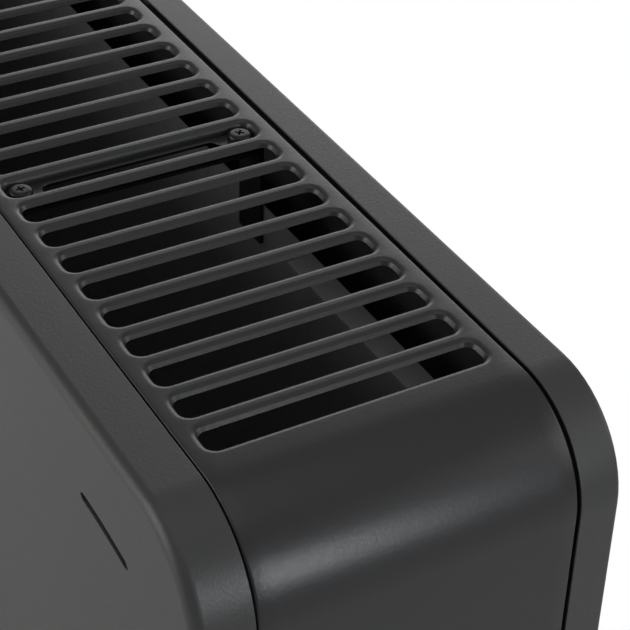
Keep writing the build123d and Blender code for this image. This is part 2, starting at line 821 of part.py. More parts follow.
for number, y in zip(("one", "two"), switch_y):
    finish(switch_housing(y), f"switch_housing_{number}")
    finish(rocker(y), f"rocker_{number}")

# Spade terminals at the back of the switches
with BuildPart() as switch_terminals:
    with BuildSketch(facing_right(recess_floor - switch_body[0])):
        for y in switch_y:
            with Locations((y, switch_z)):
                with GridLocations(0, switch_body[2] / 3, 1, 3):
                    Rectangle(tab_size[1], tab_size[2])
    extrude(amount=-tab_size[0])
finish(switch_terminals.part, "switch_terminals")

# Pilot lamp lens in the floor of the recess
with BuildPart() as pilot_lens:
    with BuildSketch(facing_right(recess_floor)):
        with Locations((grille_y, lamp_z)):
            Circle(lamp_flange / 2)
    extrude(amount=lamp_dome)
    with BuildSketch(facing_right(recess_floor)):
        with Locations((grille_y, lamp_z)):
            Circle(lamp_diameter / 2)
    extrude(amount=-panel_floor - lamp_tail)
finish(pilot_lens.part, "pilot_lens")

# Terminal block on the bottom plate, with brass clamps in its poles
block_x = holder_x + holder_foot + block_gap + block_size[1] / 2
block_z = plate_top + block_size[2] / 2
pole_y = [grille_y + n * block_pole_pitch for n in (-1, 0, 1)]
with BuildPart() as terminal_block:
    with BuildSketch(at_height(plate_top)):
        with Locations((block_x, grille_y)):
            Rectangle(block_size[1], block_size[0])
    extrude(amount=block_size[2])
    chamfer(terminal_block.faces().sort_by(Axis.Z)[-1].edges(), block_edge)
    with BuildSketch(facing_right(block_x - block_size[1] / 2)):
        with Locations(*[(y, block_z) for y in pole_y]):
            Rectangle(clamp_width + 2 * clamp_fit, clamp_width + 2 * clamp_fit)
    extrude(amount=block_size[1], mode=Mode.SUBTRACT)
finish(terminal_block.part, "terminal_block")
with BuildPart() as terminal_clamps:
    with BuildSketch(facing_right(block_x - block_size[1] / 2 + clamp_inset)):
        for y in pole_y:
            with Locations((y, block_z)):
                Rectangle(clamp_width, clamp_width)
    extrude(amount=block_size[1] - 2 * clamp_inset)
finish(terminal_clamps.part, "terminal_clamps")

# Cord gland: a flanged bush in the lower part of the right-hand end
with BuildPart() as cord_gland:
    with BuildSketch(facing_right(band_end)):
        with Locations((grille_y, gland_z)):
            Circle(gland_flange / 2)
    extrude(amount=gland_flange_thick)
    chamfer(cord_gland.faces().sort_by(Axis.X)[-1].edges(), gland_edge)
    with BuildSketch(facing_right(band_end)):
        with Locations((grille_y, gland_z)):
            Circle(gland_neck / 2)
    extrude(amount=-gland_inside)
    with BuildSketch(facing_right(band_end + gland_flange_thick)):
        with Locations((grille_y, gland_z)):
            Circle(gland_bore / 2)
    extrude(amount=-gland_flange_thick - gland_inside, mode=Mode.SUBTRACT)
finish(cord_gland.part, "cord_gland")

# Feet: moulded cross bars with a low arch, screwed up into the band
pad_centre = foot_reach - pad_inset - pad_length / 2
arch_y = foot_reach - 2 * pad_inset - pad_length
boss_front = front_seam + boss_gap
boss_rear = rear_seam - boss_gap
shoulder_z = floor_gap - foot_cover_gap
shoulder_y = foot_reach - foot_shoulder_radius
tip_z = shoulder_z - foot_shoulder_radius
hip = foot_shoulder_radius * sin(radians(45))
for side, name in ((-1, "foot_left"), (1, "foot_right")):
    with BuildPart() as foot:
        with BuildSketch(facing_right(side * foot_x - foot_width / 2)):
            with BuildLine():
                Line((-foot_reach, pad_height), (-arch_y, pad_height))
                ThreePointArc(
                    (-arch_y, pad_height),
                    (0, pad_height + foot_arch),
                    (arch_y, pad_height),
                )
                Line((arch_y, pad_height), (foot_reach, pad_height))
                Line((foot_reach, pad_height), (foot_reach, tip_z))
                ThreePointArc((foot_reach, tip_z), (shoulder_y + hip, tip_z + hip), (shoulder_y, shoulder_z))
                Line((shoulder_y, shoulder_z), (boss_rear, shoulder_z))
                Line((boss_rear, shoulder_z), (boss_rear, floor_gap))
                Line((boss_rear, floor_gap), (boss_front, floor_gap))
                Line((boss_front, floor_gap), (boss_front, shoulder_z))
                Line((boss_front, shoulder_z), (-shoulder_y, shoulder_z))
                ThreePointArc((-shoulder_y, shoulder_z), (-shoulder_y - hip, tip_z + hip), (-foot_reach, tip_z))
                Line((-foot_reach, tip_z), (-foot_reach, pad_height))
            make_face()
        extrude(amount=foot_width)
        with BuildSketch(at_height(0)):
            with Locations((side * foot_x, 0)):
                RectangleRounded(foot_width, 2 * foot_reach, foot_plan_corner)
        extrude(amount=floor_gap, mode=Mode.INTERSECT)
        with BuildSketch(at_height(pad_height)):
            with Locations(*[(side * foot_x, y) for y in foot_screw_y]):
                Circle(screw_well / 2)
        extrude(amount=floor_gap - foot_web - pad_height, mode=Mode.SUBTRACT)
        with BuildSketch(at_height(floor_gap - foot_web)):
            with Locations(*[(side * foot_x, y) for y in foot_screw_y]):
                Circle(foot_screw[2] / 2 + screw_clearance)
        extrude(amount=2 * foot_web, mode=Mode.SUBTRACT)
    finish(foot.part, name)

foot_screw_seats = [(x, y, floor_gap - foot_web) for x, y in foot_screw_places]
finish(screws(foot_screw, foot_screw_seats, (0, 0, 1)), "foot_screws")

# Rubber pads under the feet
with BuildPart() as foot_pads:
    with BuildSketch(at_height(0)):
        with Locations(*[(x, y) for x in (-foot_x, foot_x) for y in (-pad_centre, pad_centre)]):
            Rectangle(pad_width, pad_length)
    extrude(amount=pad_height)
    chamfer(foot_pads.edges().filter_by(Axis.Z), pad_corner)
finish(foot_pads.part, "foot_pads")
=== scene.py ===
import json
import math

import bmesh
import bpy
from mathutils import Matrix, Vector


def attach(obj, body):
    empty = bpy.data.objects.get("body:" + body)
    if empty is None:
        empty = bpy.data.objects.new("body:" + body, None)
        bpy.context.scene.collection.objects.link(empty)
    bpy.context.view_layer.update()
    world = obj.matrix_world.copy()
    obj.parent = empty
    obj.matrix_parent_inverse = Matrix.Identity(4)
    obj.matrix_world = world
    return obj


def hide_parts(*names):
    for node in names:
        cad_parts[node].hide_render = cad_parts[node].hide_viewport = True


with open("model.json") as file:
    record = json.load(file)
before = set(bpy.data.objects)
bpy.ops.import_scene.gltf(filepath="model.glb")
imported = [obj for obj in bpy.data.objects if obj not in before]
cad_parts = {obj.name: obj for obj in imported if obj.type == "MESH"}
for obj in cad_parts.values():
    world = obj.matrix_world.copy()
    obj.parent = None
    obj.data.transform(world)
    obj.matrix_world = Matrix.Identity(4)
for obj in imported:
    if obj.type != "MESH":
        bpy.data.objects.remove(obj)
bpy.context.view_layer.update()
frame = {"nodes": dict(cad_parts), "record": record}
print("frame loaded")

# Sizes that several pieces share, in metres
case = {
    "length": 0.528,
    "bottom": 0.042,
    "top": 0.398,
    "end": 0.264,
    "frontFace": -0.060,
    "rearFace": 0.060,
    "frontSeam": -0.0435,  # the band's flat top ends here, at each cover
    "rearSeam": 0.0468,
    "corner": 0.029,
    "sheet": 0.0008,
    "grilleY": 0.0015,  # middle of the slots and of all that is on the right-hand end
}
faceFront = (math.pi / 2, 0, 0)
faceRear = (math.pi / 2, 0, math.pi)
faceRight = (math.pi / 2, 0, math.pi / 2)
faceLeft = (math.pi / 2, 0, -math.pi / 2)
alongX = (0, math.pi / 2, 0)
alongY = (math.pi / 2, 0, 0)
nearly = 0.000001  # places this close count as the same
doubles = 0.00001  # points this close are merged
hair = 0.00005  # a round end keeps this much of its straight edge
fewSides = 8  # a face with more corners than this lies within a rounded outline
squarely = 0.9  # a normal with this much along an axis faces that way


# Modelling helpers
def deselectAll():
    bpy.ops.object.select_all(action="DESELECT")


def onlyThis(obj):
    deselectAll()
    obj.select_set(True)
    bpy.context.view_layer.objects.active = obj


def setPlace(obj):
    onlyThis(obj)
    bpy.ops.object.transform_apply(location=True, rotation=True, scale=True)


def placed(obj, name, move=(0, 0, 0), turn=(0, 0, 0)):
    obj.name = name
    obj.location = move
    obj.rotation_euler = turn
    setPlace(obj)
    return obj


def copyOf(obj, name, move=(0, 0, 0), turn=(0, 0, 0)):
    other = obj.copy()
    other.data = obj.data.copy()
    bpy.context.scene.collection.objects.link(other)
    return placed(other, name, move, turn)


def joined(name, objs):
    deselectAll()
    for obj in objs:
        obj.select_set(True)
    bpy.context.view_layer.objects.active = objs[0]
    bpy.ops.object.join()
    whole = bpy.context.object
    whole.name = name
    return whole


def pick(obj, kind, test):
    mesh = bmesh.from_edit_mesh(obj.data)
    for items in (mesh.faces, mesh.edges, mesh.verts):
        for item in items:
            item.select_set(False)
    for item in {"FACE": mesh.faces, "EDGE": mesh.edges, "VERT": mesh.verts}[kind]:
        if test(item):
            item.select_set(True)
    mesh.select_flush_mode()
    bmesh.update_edit_mesh(obj.data)


def pickAll():
    bpy.ops.mesh.select_all(action="SELECT")


# Edit mode, with what the test finds picked, or everything
def startEdit(obj, kind="FACE", test=None):
    onlyThis(obj)
    bpy.ops.object.mode_set(mode="EDIT")
    bpy.ops.mesh.select_mode(type=kind)
    if test:
        pick(obj, kind, test)
    else:
        pickAll()


def endEdit():
    bpy.ops.object.mode_set(mode="OBJECT")


# Tests for what to pick: the large face within a rounded outline, loose edges, and what lies or faces some way
def isCap(face):
    return len(face.verts) > fewSides


def isOpen(edge):
    return len(edge.link_faces) == 1


def openAt(axis, place):
    return lambda e: isOpen(e) and all(abs(v.co[axis] - place) < nearly for v in e.verts)


def beyond(axis, level, side=1):
    return lambda e: all((v.co[axis] - level) * side > -nearly for v in e.verts)


def facing(axis, side=1):
    return lambda f: f.normal[axis] * side > squarely


# Edit-mode steps
def push(x=0.0, y=0.0, z=0.0):
    bpy.ops.mesh.extrude_region_move(TRANSFORM_OT_translate={"value": (x, y, z)})


# Walls drawn from the picked edges alone
def drawWall(x=0.0, y=0.0, z=0.0):
    bpy.ops.mesh.extrude_edges_move(TRANSFORM_OT_translate={"value": (x, y, z)})


def inset(thickness, depth=0.0):
    bpy.ops.mesh.inset(thickness=thickness, depth=depth, use_even_offset=True)


def stretch(x, y, z, about=None):
    options = {"center_override": about} if about else {}
    bpy.ops.transform.resize(value=(x, y, z), **options)


# How far on and how far down each step of an arc goes, between two tilts in degrees
def arcSteps(radius, steps, first=0.0, last=90.0):
    angles = [math.radians(first + (last - first) * step / steps) for step in range(steps + 1)]
    for before, after in zip(angles, angles[1:]):
        yield radius * (math.sin(after) - math.sin(before)), radius * (math.cos(before) - math.cos(after))


# Insets that roll a flat face down into a wall, after a narrow flat ring
def rollIn(radius, steps, guard):
    inset(guard)
    for run, drop in arcSteps(radius, steps):
        inset(run, -drop)


# Insets that roll a wall out into a flat floor
def rollOut(radius, steps):
    for run, drop in arcSteps(radius, steps):
        inset(drop, -run)


# Primitives at their size and place
def newPiece(name, size=(1, 1, 1)):
    obj = bpy.context.object
    obj.name = name
    obj.scale = size
    setPlace(obj)
    return obj


# A flat rectangle with rounded corners
def plate(name, width, height, at, turn=(0, 0, 0), corner=0.0, segments=8):
    deselectAll()
    bpy.ops.mesh.primitive_plane_add(size=1, location=at, rotation=turn)
    obj = newPiece(name, (width, height, 1))
    if corner:
        startEdit(obj, "VERT")
        roundPicked(corner, segments, "VERTICES")
        endEdit()
    return obj


def block(name, size, at=(0, 0, 0)):
    deselectAll()
    bpy.ops.mesh.primitive_cube_add(size=1, location=at)
    return newPiece(name, size)


def rod(name, radius, length, at, turn=(0, 0, 0), vertices=48, tip=None):
    deselectAll()
    bpy.ops.mesh.primitive_cone_add(
        vertices=vertices, radius1=radius, radius2=radius if tip is None else tip, depth=length,
        location=at, rotation=turn,
    )
    return newPiece(name)


# Modifiers, applied at once
def apply(obj, kind, **settings):
    onlyThis(obj)
    modifier = obj.modifiers.new(kind.title(), kind)
    for key, value in settings.items():
        setattr(modifier, key, value)
    bpy.ops.object.modifier_apply(modifier=modifier.name)


def thicken(obj, thickness, offset=-1.0, even=False):
    apply(obj, "SOLIDIFY", thickness=thickness, offset=offset, use_even_offset=even)


def combine(obj, other, operation="DIFFERENCE"):
    apply(obj, "BOOLEAN", operation=operation, solver="EXACT", object=other)
    bpy.data.objects.remove(other)


def softEdges(obj, width, segments=3, angle=30.0):
    apply(obj, "BEVEL", width=width, segments=segments, limit_method="ANGLE", angle_limit=math.radians(angle))


def roundPicked(offset, segments, kind="EDGES"):
    bpy.ops.mesh.bevel(offset=offset, segments=segments, affect=kind, profile=0.5)


def bevelEdges(obj, test, width, segments):
    startEdit(obj, "EDGE", test)
    roundPicked(width, segments)
    endEdit()


def outward(obj):
    startEdit(obj)
    bpy.ops.mesh.remove_doubles(threshold=doubles)
    bpy.ops.mesh.normals_make_consistent(inside=False)
    endEdit()


# A plate with thickness, to cut with
def slab(name, width, height, depth, at, turn=(0, 0, 0), corner=0.0, segments=8, offset=-1.0):
    obj = plate(name, width, height, at, turn, corner, segments)
    thicken(obj, depth, offset)
    outward(obj)
    return obj


# Last calls for a piece: its shading, its finish, the body it rides on and the nodes it stands for
def dress(obj, body, slot, *nodes, angle=35.0, weighted=True):
    onlyThis(obj)
    bpy.ops.object.shade_smooth_by_angle(angle=math.radians(angle))
    for modifier in list(obj.modifiers):
        bpy.ops.object.modifier_apply(modifier=modifier.name)
    if weighted:
        apply(obj, "WEIGHTED_NORMAL", keep_sharp=True, weight=100)
    obj.data.materials.clear()
    obj.data.materials.append(materials[slot])
    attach(obj, body)
    if nodes:
        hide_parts(*nodes)


# Materials
def setInputs(tree, node, inputs):
    for label, value in inputs.items():
        if isinstance(value, bpy.types.NodeSocket):
            tree.links.new(value, node.inputs[label])
        else:
            node.inputs[label].default_value = value


# A node whose inputs take fixed values or the outputs of other nodes
def addNode(tree, kind, inputs, **settings):
    node = tree.nodes.new("ShaderNode" + kind)
    for key, value in settings.items():
        setattr(node, key, value)
    setInputs(tree, node, inputs)
    return node


def mathNode(tree, operation, a, b):
    return addNode(tree, "Math", {0: a, 1: b}, operation=operation).outputs[0]


# A value that goes up and down with a texture
def drifting(tree, value, texture, share):
    centred = mathNode(tree, "SUBTRACT", texture.outputs["Fac"], 0.5)
    return mathNode(tree, "ADD", mathNode(tree, "MULTIPLY", centred, share), value)


def noise(tree, place, size, detail):
    return addNode(tree, "TexNoise", {"Vector": place, "Scale": size, "Detail": detail})


def bump(tree, height, strength, distance, under=None):
    below = {"Normal": under} if under else {}
    return addNode(tree, "Bump", {"Height": height, "Strength": strength, "Distance": distance, **below}).outputs[0]


def scaledColor(tree, color, level):
    return addNode(tree, "VectorMath", {0: color, "Scale": level}, operation="SCALE").outputs[0]


# A finish group: its inputs with their usual values, and the three outputs that each one has
def newGroup(name, inputs):
    group = bpy.data.node_groups.new(name, "ShaderNodeTree")
    for label, value in inputs.items():
        kind = "NodeSocketColor" if isinstance(value, tuple) else "NodeSocketFloat"
        group.interface.new_socket(name=label, in_out="INPUT", socket_type=kind).default_value = value
    for label, kind in (("Color", "Color"), ("Roughness", "Float"), ("Normal", "Vector")):
        group.interface.new_socket(name=label, in_out="OUTPUT", socket_type="NodeSocket" + kind)
    place = addNode(group, "TexCoord", {}).outputs["Object"]
    return group, group.nodes.new("NodeGroupInput").outputs, group.nodes.new("NodeGroupOutput"), place


# Textures inside the groups: sizes are noise scales with their detail, reliefs are in metres
coat = {
    "peelDetail": 2.0,
    "grain": (5200.0, 1.0),
    "drift": (14.0, 3.0),
    "grainRelief": 0.00004,
    "peelRelief": 0.00025,
    "sheenDrift": 0.12,
}
mould = {
    "cloud": (60.0, 4.0),
    "toneDrift": 0.16,
    "sheenDrift": 0.18,
    "pitRelief": 0.00006,
}
rolled = {
    "streakSize": (30, 1400, 1400),
    "streakDetail": 4.0,
    "spangleSize": 320.0,
    "sheenDrift": 0.3,
    "reliefStrength": 0.12,
    "relief": 0.00003,
}


# Orange peel of a baked coat: soft dimples, fine grain and a slow drift of tone
def buildCoatGroup(spec):
    group, values, end, place = newGroup("orangePeelCoat", {
        "Paint": (0.1, 0.1, 0.1, 1), "Tone Drift": 0.06, "Roughness": 0.45,
        "Peel Size": 900.0, "Peel Depth": 0.12, "Grain Depth": 0.05,
    })
    peel = noise(group, place, values["Peel Size"], spec["peelDetail"])
    grain, drift = (noise(group, place, *spec[key]) for key in ("grain", "drift"))
    slow = drifting(group, 1.0, drift, values["Tone Drift"])
    tone = drifting(group, slow, grain, values["Tone Drift"])
    fine = bump(group, grain.outputs["Fac"], values["Grain Depth"], spec["grainRelief"])
    setInputs(group, end, {
        "Color": scaledColor(group, values["Paint"], tone),
        "Roughness": drifting(group, values["Roughness"], peel, spec["sheenDrift"]),
        "Normal": bump(group, peel.outputs["Fac"], values["Peel Depth"], spec["peelRelief"], fine),
    })
    return group


# Spark-eroded texture of a moulded plastic face
def buildMouldGroup(spec):
    group, values, end, place = newGroup("mouldedTexture", {
        "Tint": (0.03, 0.03, 0.03, 1), "Roughness": 0.5, "Texture Size": 2600.0, "Texture Depth": 0.3,
    })
    pits = addNode(group, "TexVoronoi", {"Vector": place, "Scale": values["Texture Size"]}, feature="SMOOTH_F1")
    cloud = noise(group, place, *spec["cloud"])
    setInputs(group, end, {
        "Color": scaledColor(group, values["Tint"], drifting(group, 1.0, cloud, spec["toneDrift"])),
        "Roughness": drifting(group, values["Roughness"], cloud, spec["sheenDrift"]),
        "Normal": bump(group, pits.outputs["Distance"], values["Texture Depth"], spec["pitRelief"]),
    })
    return group


# Rolled or drawn metal: long faint streaks along X and a zinc bloom
def buildRolledGroup(spec):
    group, values, end, place = newGroup("rolledMetal", {
        "Metal": (0.5, 0.5, 0.5, 1), "Bloom": (0.4, 0.4, 0.42, 1), "Bloom Share": 0.5, "Roughness": 0.38,
    })
    drawn = addNode(group, "Mapping", {"Vector": place, "Scale": spec["streakSize"]})
    streak = noise(group, drawn.outputs["Vector"], 1.0, spec["streakDetail"])
    spangle = addNode(group, "TexVoronoi", {"Vector": place, "Scale": spec["spangleSize"]})
    patch = mathNode(group, "MULTIPLY", spangle.outputs["Color"], values["Bloom Share"])
    # sockets 6, 7 and 2 are the mixer's two colours and its result
    bloom = addNode(group, "Mix", {0: patch, 6: values["Metal"], 7: values["Bloom"]}, data_type="RGBA")
    setInputs(group, end, {
        "Color": bloom.outputs[2],
        "Roughness": drifting(group, values["Roughness"], streak, spec["sheenDrift"]),
        "Normal": bump(group, streak.outputs["Fac"], spec["reliefStrength"], spec["relief"]),
    })
    return group


coatGroup, mouldGroup, rolledGroup = buildCoatGroup(coat), buildMouldGroup(mould), buildRolledGroup(rolled)

# Each finish: its group, the group's inputs in their order, and what is set on the shader itself
finishes = {
    # paint, tone drift, roughness, peel size, peel depth, grain depth
    "cover_paint": (coatGroup, ((0.053, 0.053, 0.053, 1), 0.10, 0.40, 1100.0, 0.22, 0.60), {}),
    "band_paint": (coatGroup, ((0.030, 0.030, 0.031, 1), 0.06, 0.33, 900.0, 0.14, 0.25), {}),
    "black_steel": (coatGroup, ((0.012, 0.012, 0.013, 1), 0.06, 0.32, 1800.0, 0.08, 0.05), {"Metallic": 0.3}),
    # metal, bloom, bloom share, roughness
    "galvanised_steel": (rolledGroup, ((0.56, 0.57, 0.58, 1), (0.42, 0.43, 0.45, 1), 0.5, 0.42), {"Metallic": 1.0}),
    "cast_fins": (rolledGroup, ((0.60, 0.61, 0.62, 1), (0.48, 0.48, 0.49, 1), 0.5, 0.50), {"Metallic": 1.0}),
    "element_sheath": (rolledGroup, ((0.34, 0.33, 0.32, 1), (0.22, 0.19, 0.17, 1), 0.5, 0.40), {"Metallic": 1.0}),
    "brass_fittings": (rolledGroup, ((0.72, 0.54, 0.26, 1), (0.55, 0.40, 0.20, 1), 0.5, 0.30), {"Metallic": 1.0}),
    # painted shade: the shields are a darker copy of the galvanised steel, for the shade inside the duct
    "shield_steel": (rolledGroup, ((0.30, 0.30, 0.305, 1), (0.24, 0.24, 0.24, 1), 0.5, 0.55), {"Metallic": 0.5}),
    # painted shade: the hanger strips are galvanised steel made near black, for the shade inside the duct
    "heat_darkened": (rolledGroup, ((0.07, 0.07, 0.075, 1), (0.04, 0.039, 0.038, 1), 0.5, 0.55), {"Metallic": 1.0}),
    # tint, roughness, texture size, texture depth
    "white_ceramic": (mouldGroup, ((0.80, 0.78, 0.72, 1), 0.70, 1800.0, 0.20), {}),
    "black_moulding": (mouldGroup, ((0.024, 0.024, 0.026, 1), 0.50, 2600.0, 0.30), {}),
    "knob_moulding": (mouldGroup, ((0.032, 0.032, 0.034, 1), 0.33, 2600.0, 0.12), {}),
    "rocker_moulding": (mouldGroup, ((0.016, 0.016, 0.017, 1), 0.20, 2600.0, 0.04), {}),
    "amber_lens": (mouldGroup, ((0.60, 0.20, 0.02, 1), 0.15, 2600.0, 0.02), {"Coat Weight": 0.6}),
    "foot_moulding": (mouldGroup, ((0.028, 0.028, 0.030, 1), 0.55, 2600.0, 0.45), {}),
    "foot_rubber": (mouldGroup, ((0.03, 0.03, 0.03, 1), 0.80, 1500.0, 0.30), {}),
    "dial_print": (mouldGroup, ((0.72, 0.72, 0.70, 1), 0.55, 2600.0, 0.10), {}),
}
# Nodes with a finish of their own in place of their slot's: darker copies of the galvanised steel, painted shade for
# the dark inside of the duct
nodeFinishes = {
    "front_shield": "shield_steel",
    "rear_shield": "shield_steel",
    "hanger_strip_left": "heat_darkened",
    "hanger_strip_right": "heat_darkened",
}


def camelCase(words):
    first, *others = words.split("_")
    return first + "".join(word.title() for word in others)


# One finish group feeding the Principled BSDF
def finishMaterial(name, group, values, shader):
    material = bpy.data.materials.new(name)
    material.use_nodes = True
    tree = material.node_tree
    finish = tree.nodes.new("ShaderNodeGroup")
    finish.node_tree = group
    setInputs(tree, finish, dict(enumerate(values)))
    setInputs(tree, tree.nodes["Principled BSDF"], {
        "Base Color": finish.outputs["Color"],
        "Roughness": finish.outputs["Roughness"],
        "Normal": finish.outputs["Normal"],
        **shader,
    })
    return material


materials = {slot: finishMaterial(camelCase(slot), *finish) for slot, finish in finishes.items()}
for entry in frame["record"]["subparts"]:
    node = frame["nodes"][entry["node"]]
    for index in range(len(node.data.materials)):
        node.data.materials[index] = materials[nodeFinishes.get(entry["node"], entry["material_slot"])]
print("materials made")


# Grille band: one slot is modelled and copied along the top, then the sheet is carried round the ends
grille = {
    "count": 33,
    "pitch": 0.014,
    "slotWidth": 0.00865,
    "slotShift": -0.00013,
    "slotLength": 0.0791,
    "slotCorner": 0.0028,
    "cornerSteps": 8,
    "guard": 0.0001,  # flat ring before the rim
    "rolls": ((0.0026, 5, 0.0, 33.0), (0.0006, 3, 33.0, 60.0)),  # radius, steps, first and last tilt
    "rimSlope": (0.00062, 0.00098),
    "edgeRound": 0.0008,
    "edgeSteps": 4,
    "lapDrop": 0.0020,
    "lapWidth": 0.0090,
    "lipDepth": 0.0080,
    "bendSteps": 16,
    "stub": 0.070,
    "padSize": (0.014, 0.0044, 0.0012),
    "padSlot": 31,
    "padRise": 0.090,
    "coverScrewX": 0.172,
    "screwSlots": (9, 23),
    "pocketDepth": 0.0032,
    "pocketRound": (0.0004, 3),
    "pocketLap": 0.0003,
    "pocketSheet": 0.00056,
    "shortLength": 0.0578,
    "shortWidth": 0.0068,
    "panelOpening": (0.062, 0.112, 0.215),
    "openingCorner": 0.008,
    "openingCut": (0.005, 0.012),  # how far outside the end the cut starts, and its depth
    "glandHole": (0.0122, 0.078),
    "glandCut": 0.01,
}


def slotPlace(spec, index):
    return (index - (spec["count"] - 1) / 2) * spec["pitch"]


# Carries the outline of a rounded plate outwards to a rectangle: each side and end is pulled flat
def flatRound(obj, width, length, corner, x, front, rear, at=0.0):
    startEdit(obj, "EDGE", isOpen)
    bpy.ops.mesh.extrude_edges_move()
    bpy.ops.mesh.select_mode(type="VERT")
    reach = corner * math.cos(math.pi / 4) - 2 * nearly
    sideStart, endStart = width / 2 - corner + reach, length / 2 - corner + reach
    for side in (-1, 1):
        pick(obj, "VERT", lambda v: v.is_boundary and (v.co.x - at) * side > sideStart)
        stretch(0, 1, 1, (side * x, 0, 0))
    for side, end in ((-1, front), (1, rear)):
        pick(obj, "VERT", lambda v: v.is_boundary and (v.co.y - case["grilleY"]) * side > endStart)
        stretch(1, 0, 1, (0, end, 0))
    endEdit()


# From the flat sheet round its edge, down the step, out under the cover's flange and down the lip
def stepUnderFlange(cell, spec, seam, side):
    radius = spec["edgeRound"]
    startEdit(cell, "EDGE", openAt(1, seam - side * radius))
    for run, drop in arcSteps(radius, spec["edgeSteps"]):
        push(0, side * run, -drop)
    push(0, 0, radius - spec["lapDrop"])
    push(0, side * spec["lapWidth"], 0)
    push(0, 0, spec["lapDrop"] - spec["lipDepth"])
    endEdit()


# One pitch of the sheet, with a rim pressed down round its slot
def makeSlotCell(name, spec, bottom):
    slope, fall = spec["rimSlope"]
    grow, sunk = spec["guard"] + slope, fall
    for radius, steps, first, last in spec["rolls"]:
        for run, drop in arcSteps(radius, 1, first, last):
            grow, sunk = grow + run, sunk + drop
    width, length = spec["slotWidth"] + 2 * grow, spec["slotLength"] + 2 * grow
    corner = spec["slotCorner"] + grow
    cell = plate(name, width, length, (spec["slotShift"], case["grilleY"], case["top"]),
                 corner=corner, segments=spec["cornerSteps"])
    front, rear = case["frontSeam"] + spec["edgeRound"], case["rearSeam"] - spec["edgeRound"]
    flatRound(cell, width, length, corner, spec["pitch"] / 2, front, rear, spec["slotShift"])
    startEdit(cell, "FACE", isCap)
    inset(spec["guard"])
    for sizes in spec["rolls"]:
        for run, drop in arcSteps(*sizes):
            inset(run, -drop)
    inset(slope, -fall)
    if bottom:
        push(0, 0, sunk - bottom)
    bpy.ops.mesh.delete(type="FACE")
    endEdit()
    stepUnderFlange(cell, spec, case["frontSeam"], -1)
    stepUnderFlange(cell, spec, case["rearSeam"], 1)
    return cell


# Sunk floor of a screw slot, with a shorter round-ended slot between the screws
def makePocketFloor(spec, x):
    wide, long = spec["shortWidth"], spec["shortLength"]
    corner = wide / 2 - hair
    floor = plate("pocketFloor", wide, long, (0, case["grilleY"], case["top"] - spec["pocketDepth"]),
                  corner=corner, segments=spec["cornerSteps"])
    under = spec["slotLength"] / 2 + spec["pocketLap"]
    flatRound(floor, wide, long, corner, spec["slotWidth"] / 2 + spec["pocketLap"],
              case["grilleY"] - under, case["grilleY"] + under)
    startEdit(floor, "FACE", isCap)
    rollIn(*spec["pocketRound"], spec["guard"])
    bpy.ops.mesh.delete(type="FACE")
    endEdit()
    outward(floor)
    thicken(floor, spec["pocketSheet"])
    return placed(floor, "pocketFloor", (x, 0, 0))


# From the last slot over the bend, down the end, and in under the bottom corner
def carryRoundEnd(band, spec, side):
    edgeX = side * spec["pitch"] * spec["count"] / 2
    flatEnd = side * (case["end"] - case["corner"])
    topCentre, lowCentre = case["top"] - case["corner"], case["bottom"] + case["corner"]
    startEdit(band, "EDGE", openAt(0, edgeX))
    push(flatEnd - edgeX)
    for centre, after in ((topCentre, (0, 0, lowCentre - topCentre)), (lowCentre, (-side * spec["stub"], 0, 0))):
        bpy.ops.mesh.spin(steps=spec["bendSteps"], angle=-side * math.pi / 2,
                          center=(flatEnd, 0, centre), axis=(0, 1, 0))
        push(*after)
    endEdit()


# Pads pressed out of the laps, which the covers' flanges rest on
def makePads(spec):
    long, wide, rise = spec["padSize"]
    lapTop = case["top"] - spec["lapDrop"]
    lapEnd = case["end"] - spec["lapDrop"]
    lapBottom = case["bottom"] + spec["lapDrop"]
    middleZ = (case["top"] + case["bottom"]) / 2
    farX = slotPlace(spec, spec["padSlot"])
    pad = block("pad", (long, wide, rise), (0, 0, rise / 2))
    startEdit(pad, "FACE", facing(2))
    stretch(1 - 2 * rise / long, 1 - 2 * rise / wide, 1)
    endEdit()
    seats = []
    for y in (case["frontSeam"] - spec["lapWidth"] / 2, case["rearSeam"] + spec["lapWidth"] / 2):
        seats += [((x, y, lapTop), (0, 0, 0)) for x in (-farX, 0, farX)]
        for side in (-1, 1):
            seats.append(((side * spec["coverScrewX"], y, lapBottom), (math.pi, 0, 0)))
            for z in (middleZ - spec["padRise"], middleZ + spec["padRise"]):
                seats.append(((side * lapEnd, y, z), (0, side * math.pi / 2, 0)))
    pads = [copyOf(pad, "pad", *seat) for seat in seats]
    bpy.data.objects.remove(pad)
    return pads


def makeGrilleBand(spec):
    openSlot = makeSlotCell("openSlot", spec, 0)
    screwSlot = makeSlotCell("screwSlot", spec, spec["pocketDepth"])
    cells = []
    for index in range(spec["count"]):
        source = screwSlot if index in spec["screwSlots"] else openSlot
        cells.append(copyOf(source, "slot", (slotPlace(spec, index), 0, 0)))
    for source in (openSlot, screwSlot):
        bpy.data.objects.remove(source)
    band = joined("grilleBand", cells)
    outward(band)
    for side in (-1, 1):
        carryRoundEnd(band, spec, side)
    outward(band)
    thicken(band, case["sheet"])
    wide, tall, z = spec["panelOpening"]
    outside, depth = spec["openingCut"]
    combine(band, slab("opening", wide, tall, depth, (case["end"] + outside, case["grilleY"], z), faceRight,
                       spec["openingCorner"]))
    hole, z = spec["glandHole"]
    combine(band, rod("glandHole", hole / 2, spec["glandCut"], (case["end"], case["grilleY"], z), alongX))
    floors = [makePocketFloor(spec, slotPlace(spec, index)) for index in spec["screwSlots"]]
    band = joined("grilleBand", [band] + floors + makePads(spec))
    dress(band, "housing", "band_paint", "grille_band", weighted=False)


makeGrilleBand(grille)
print("grille band made")


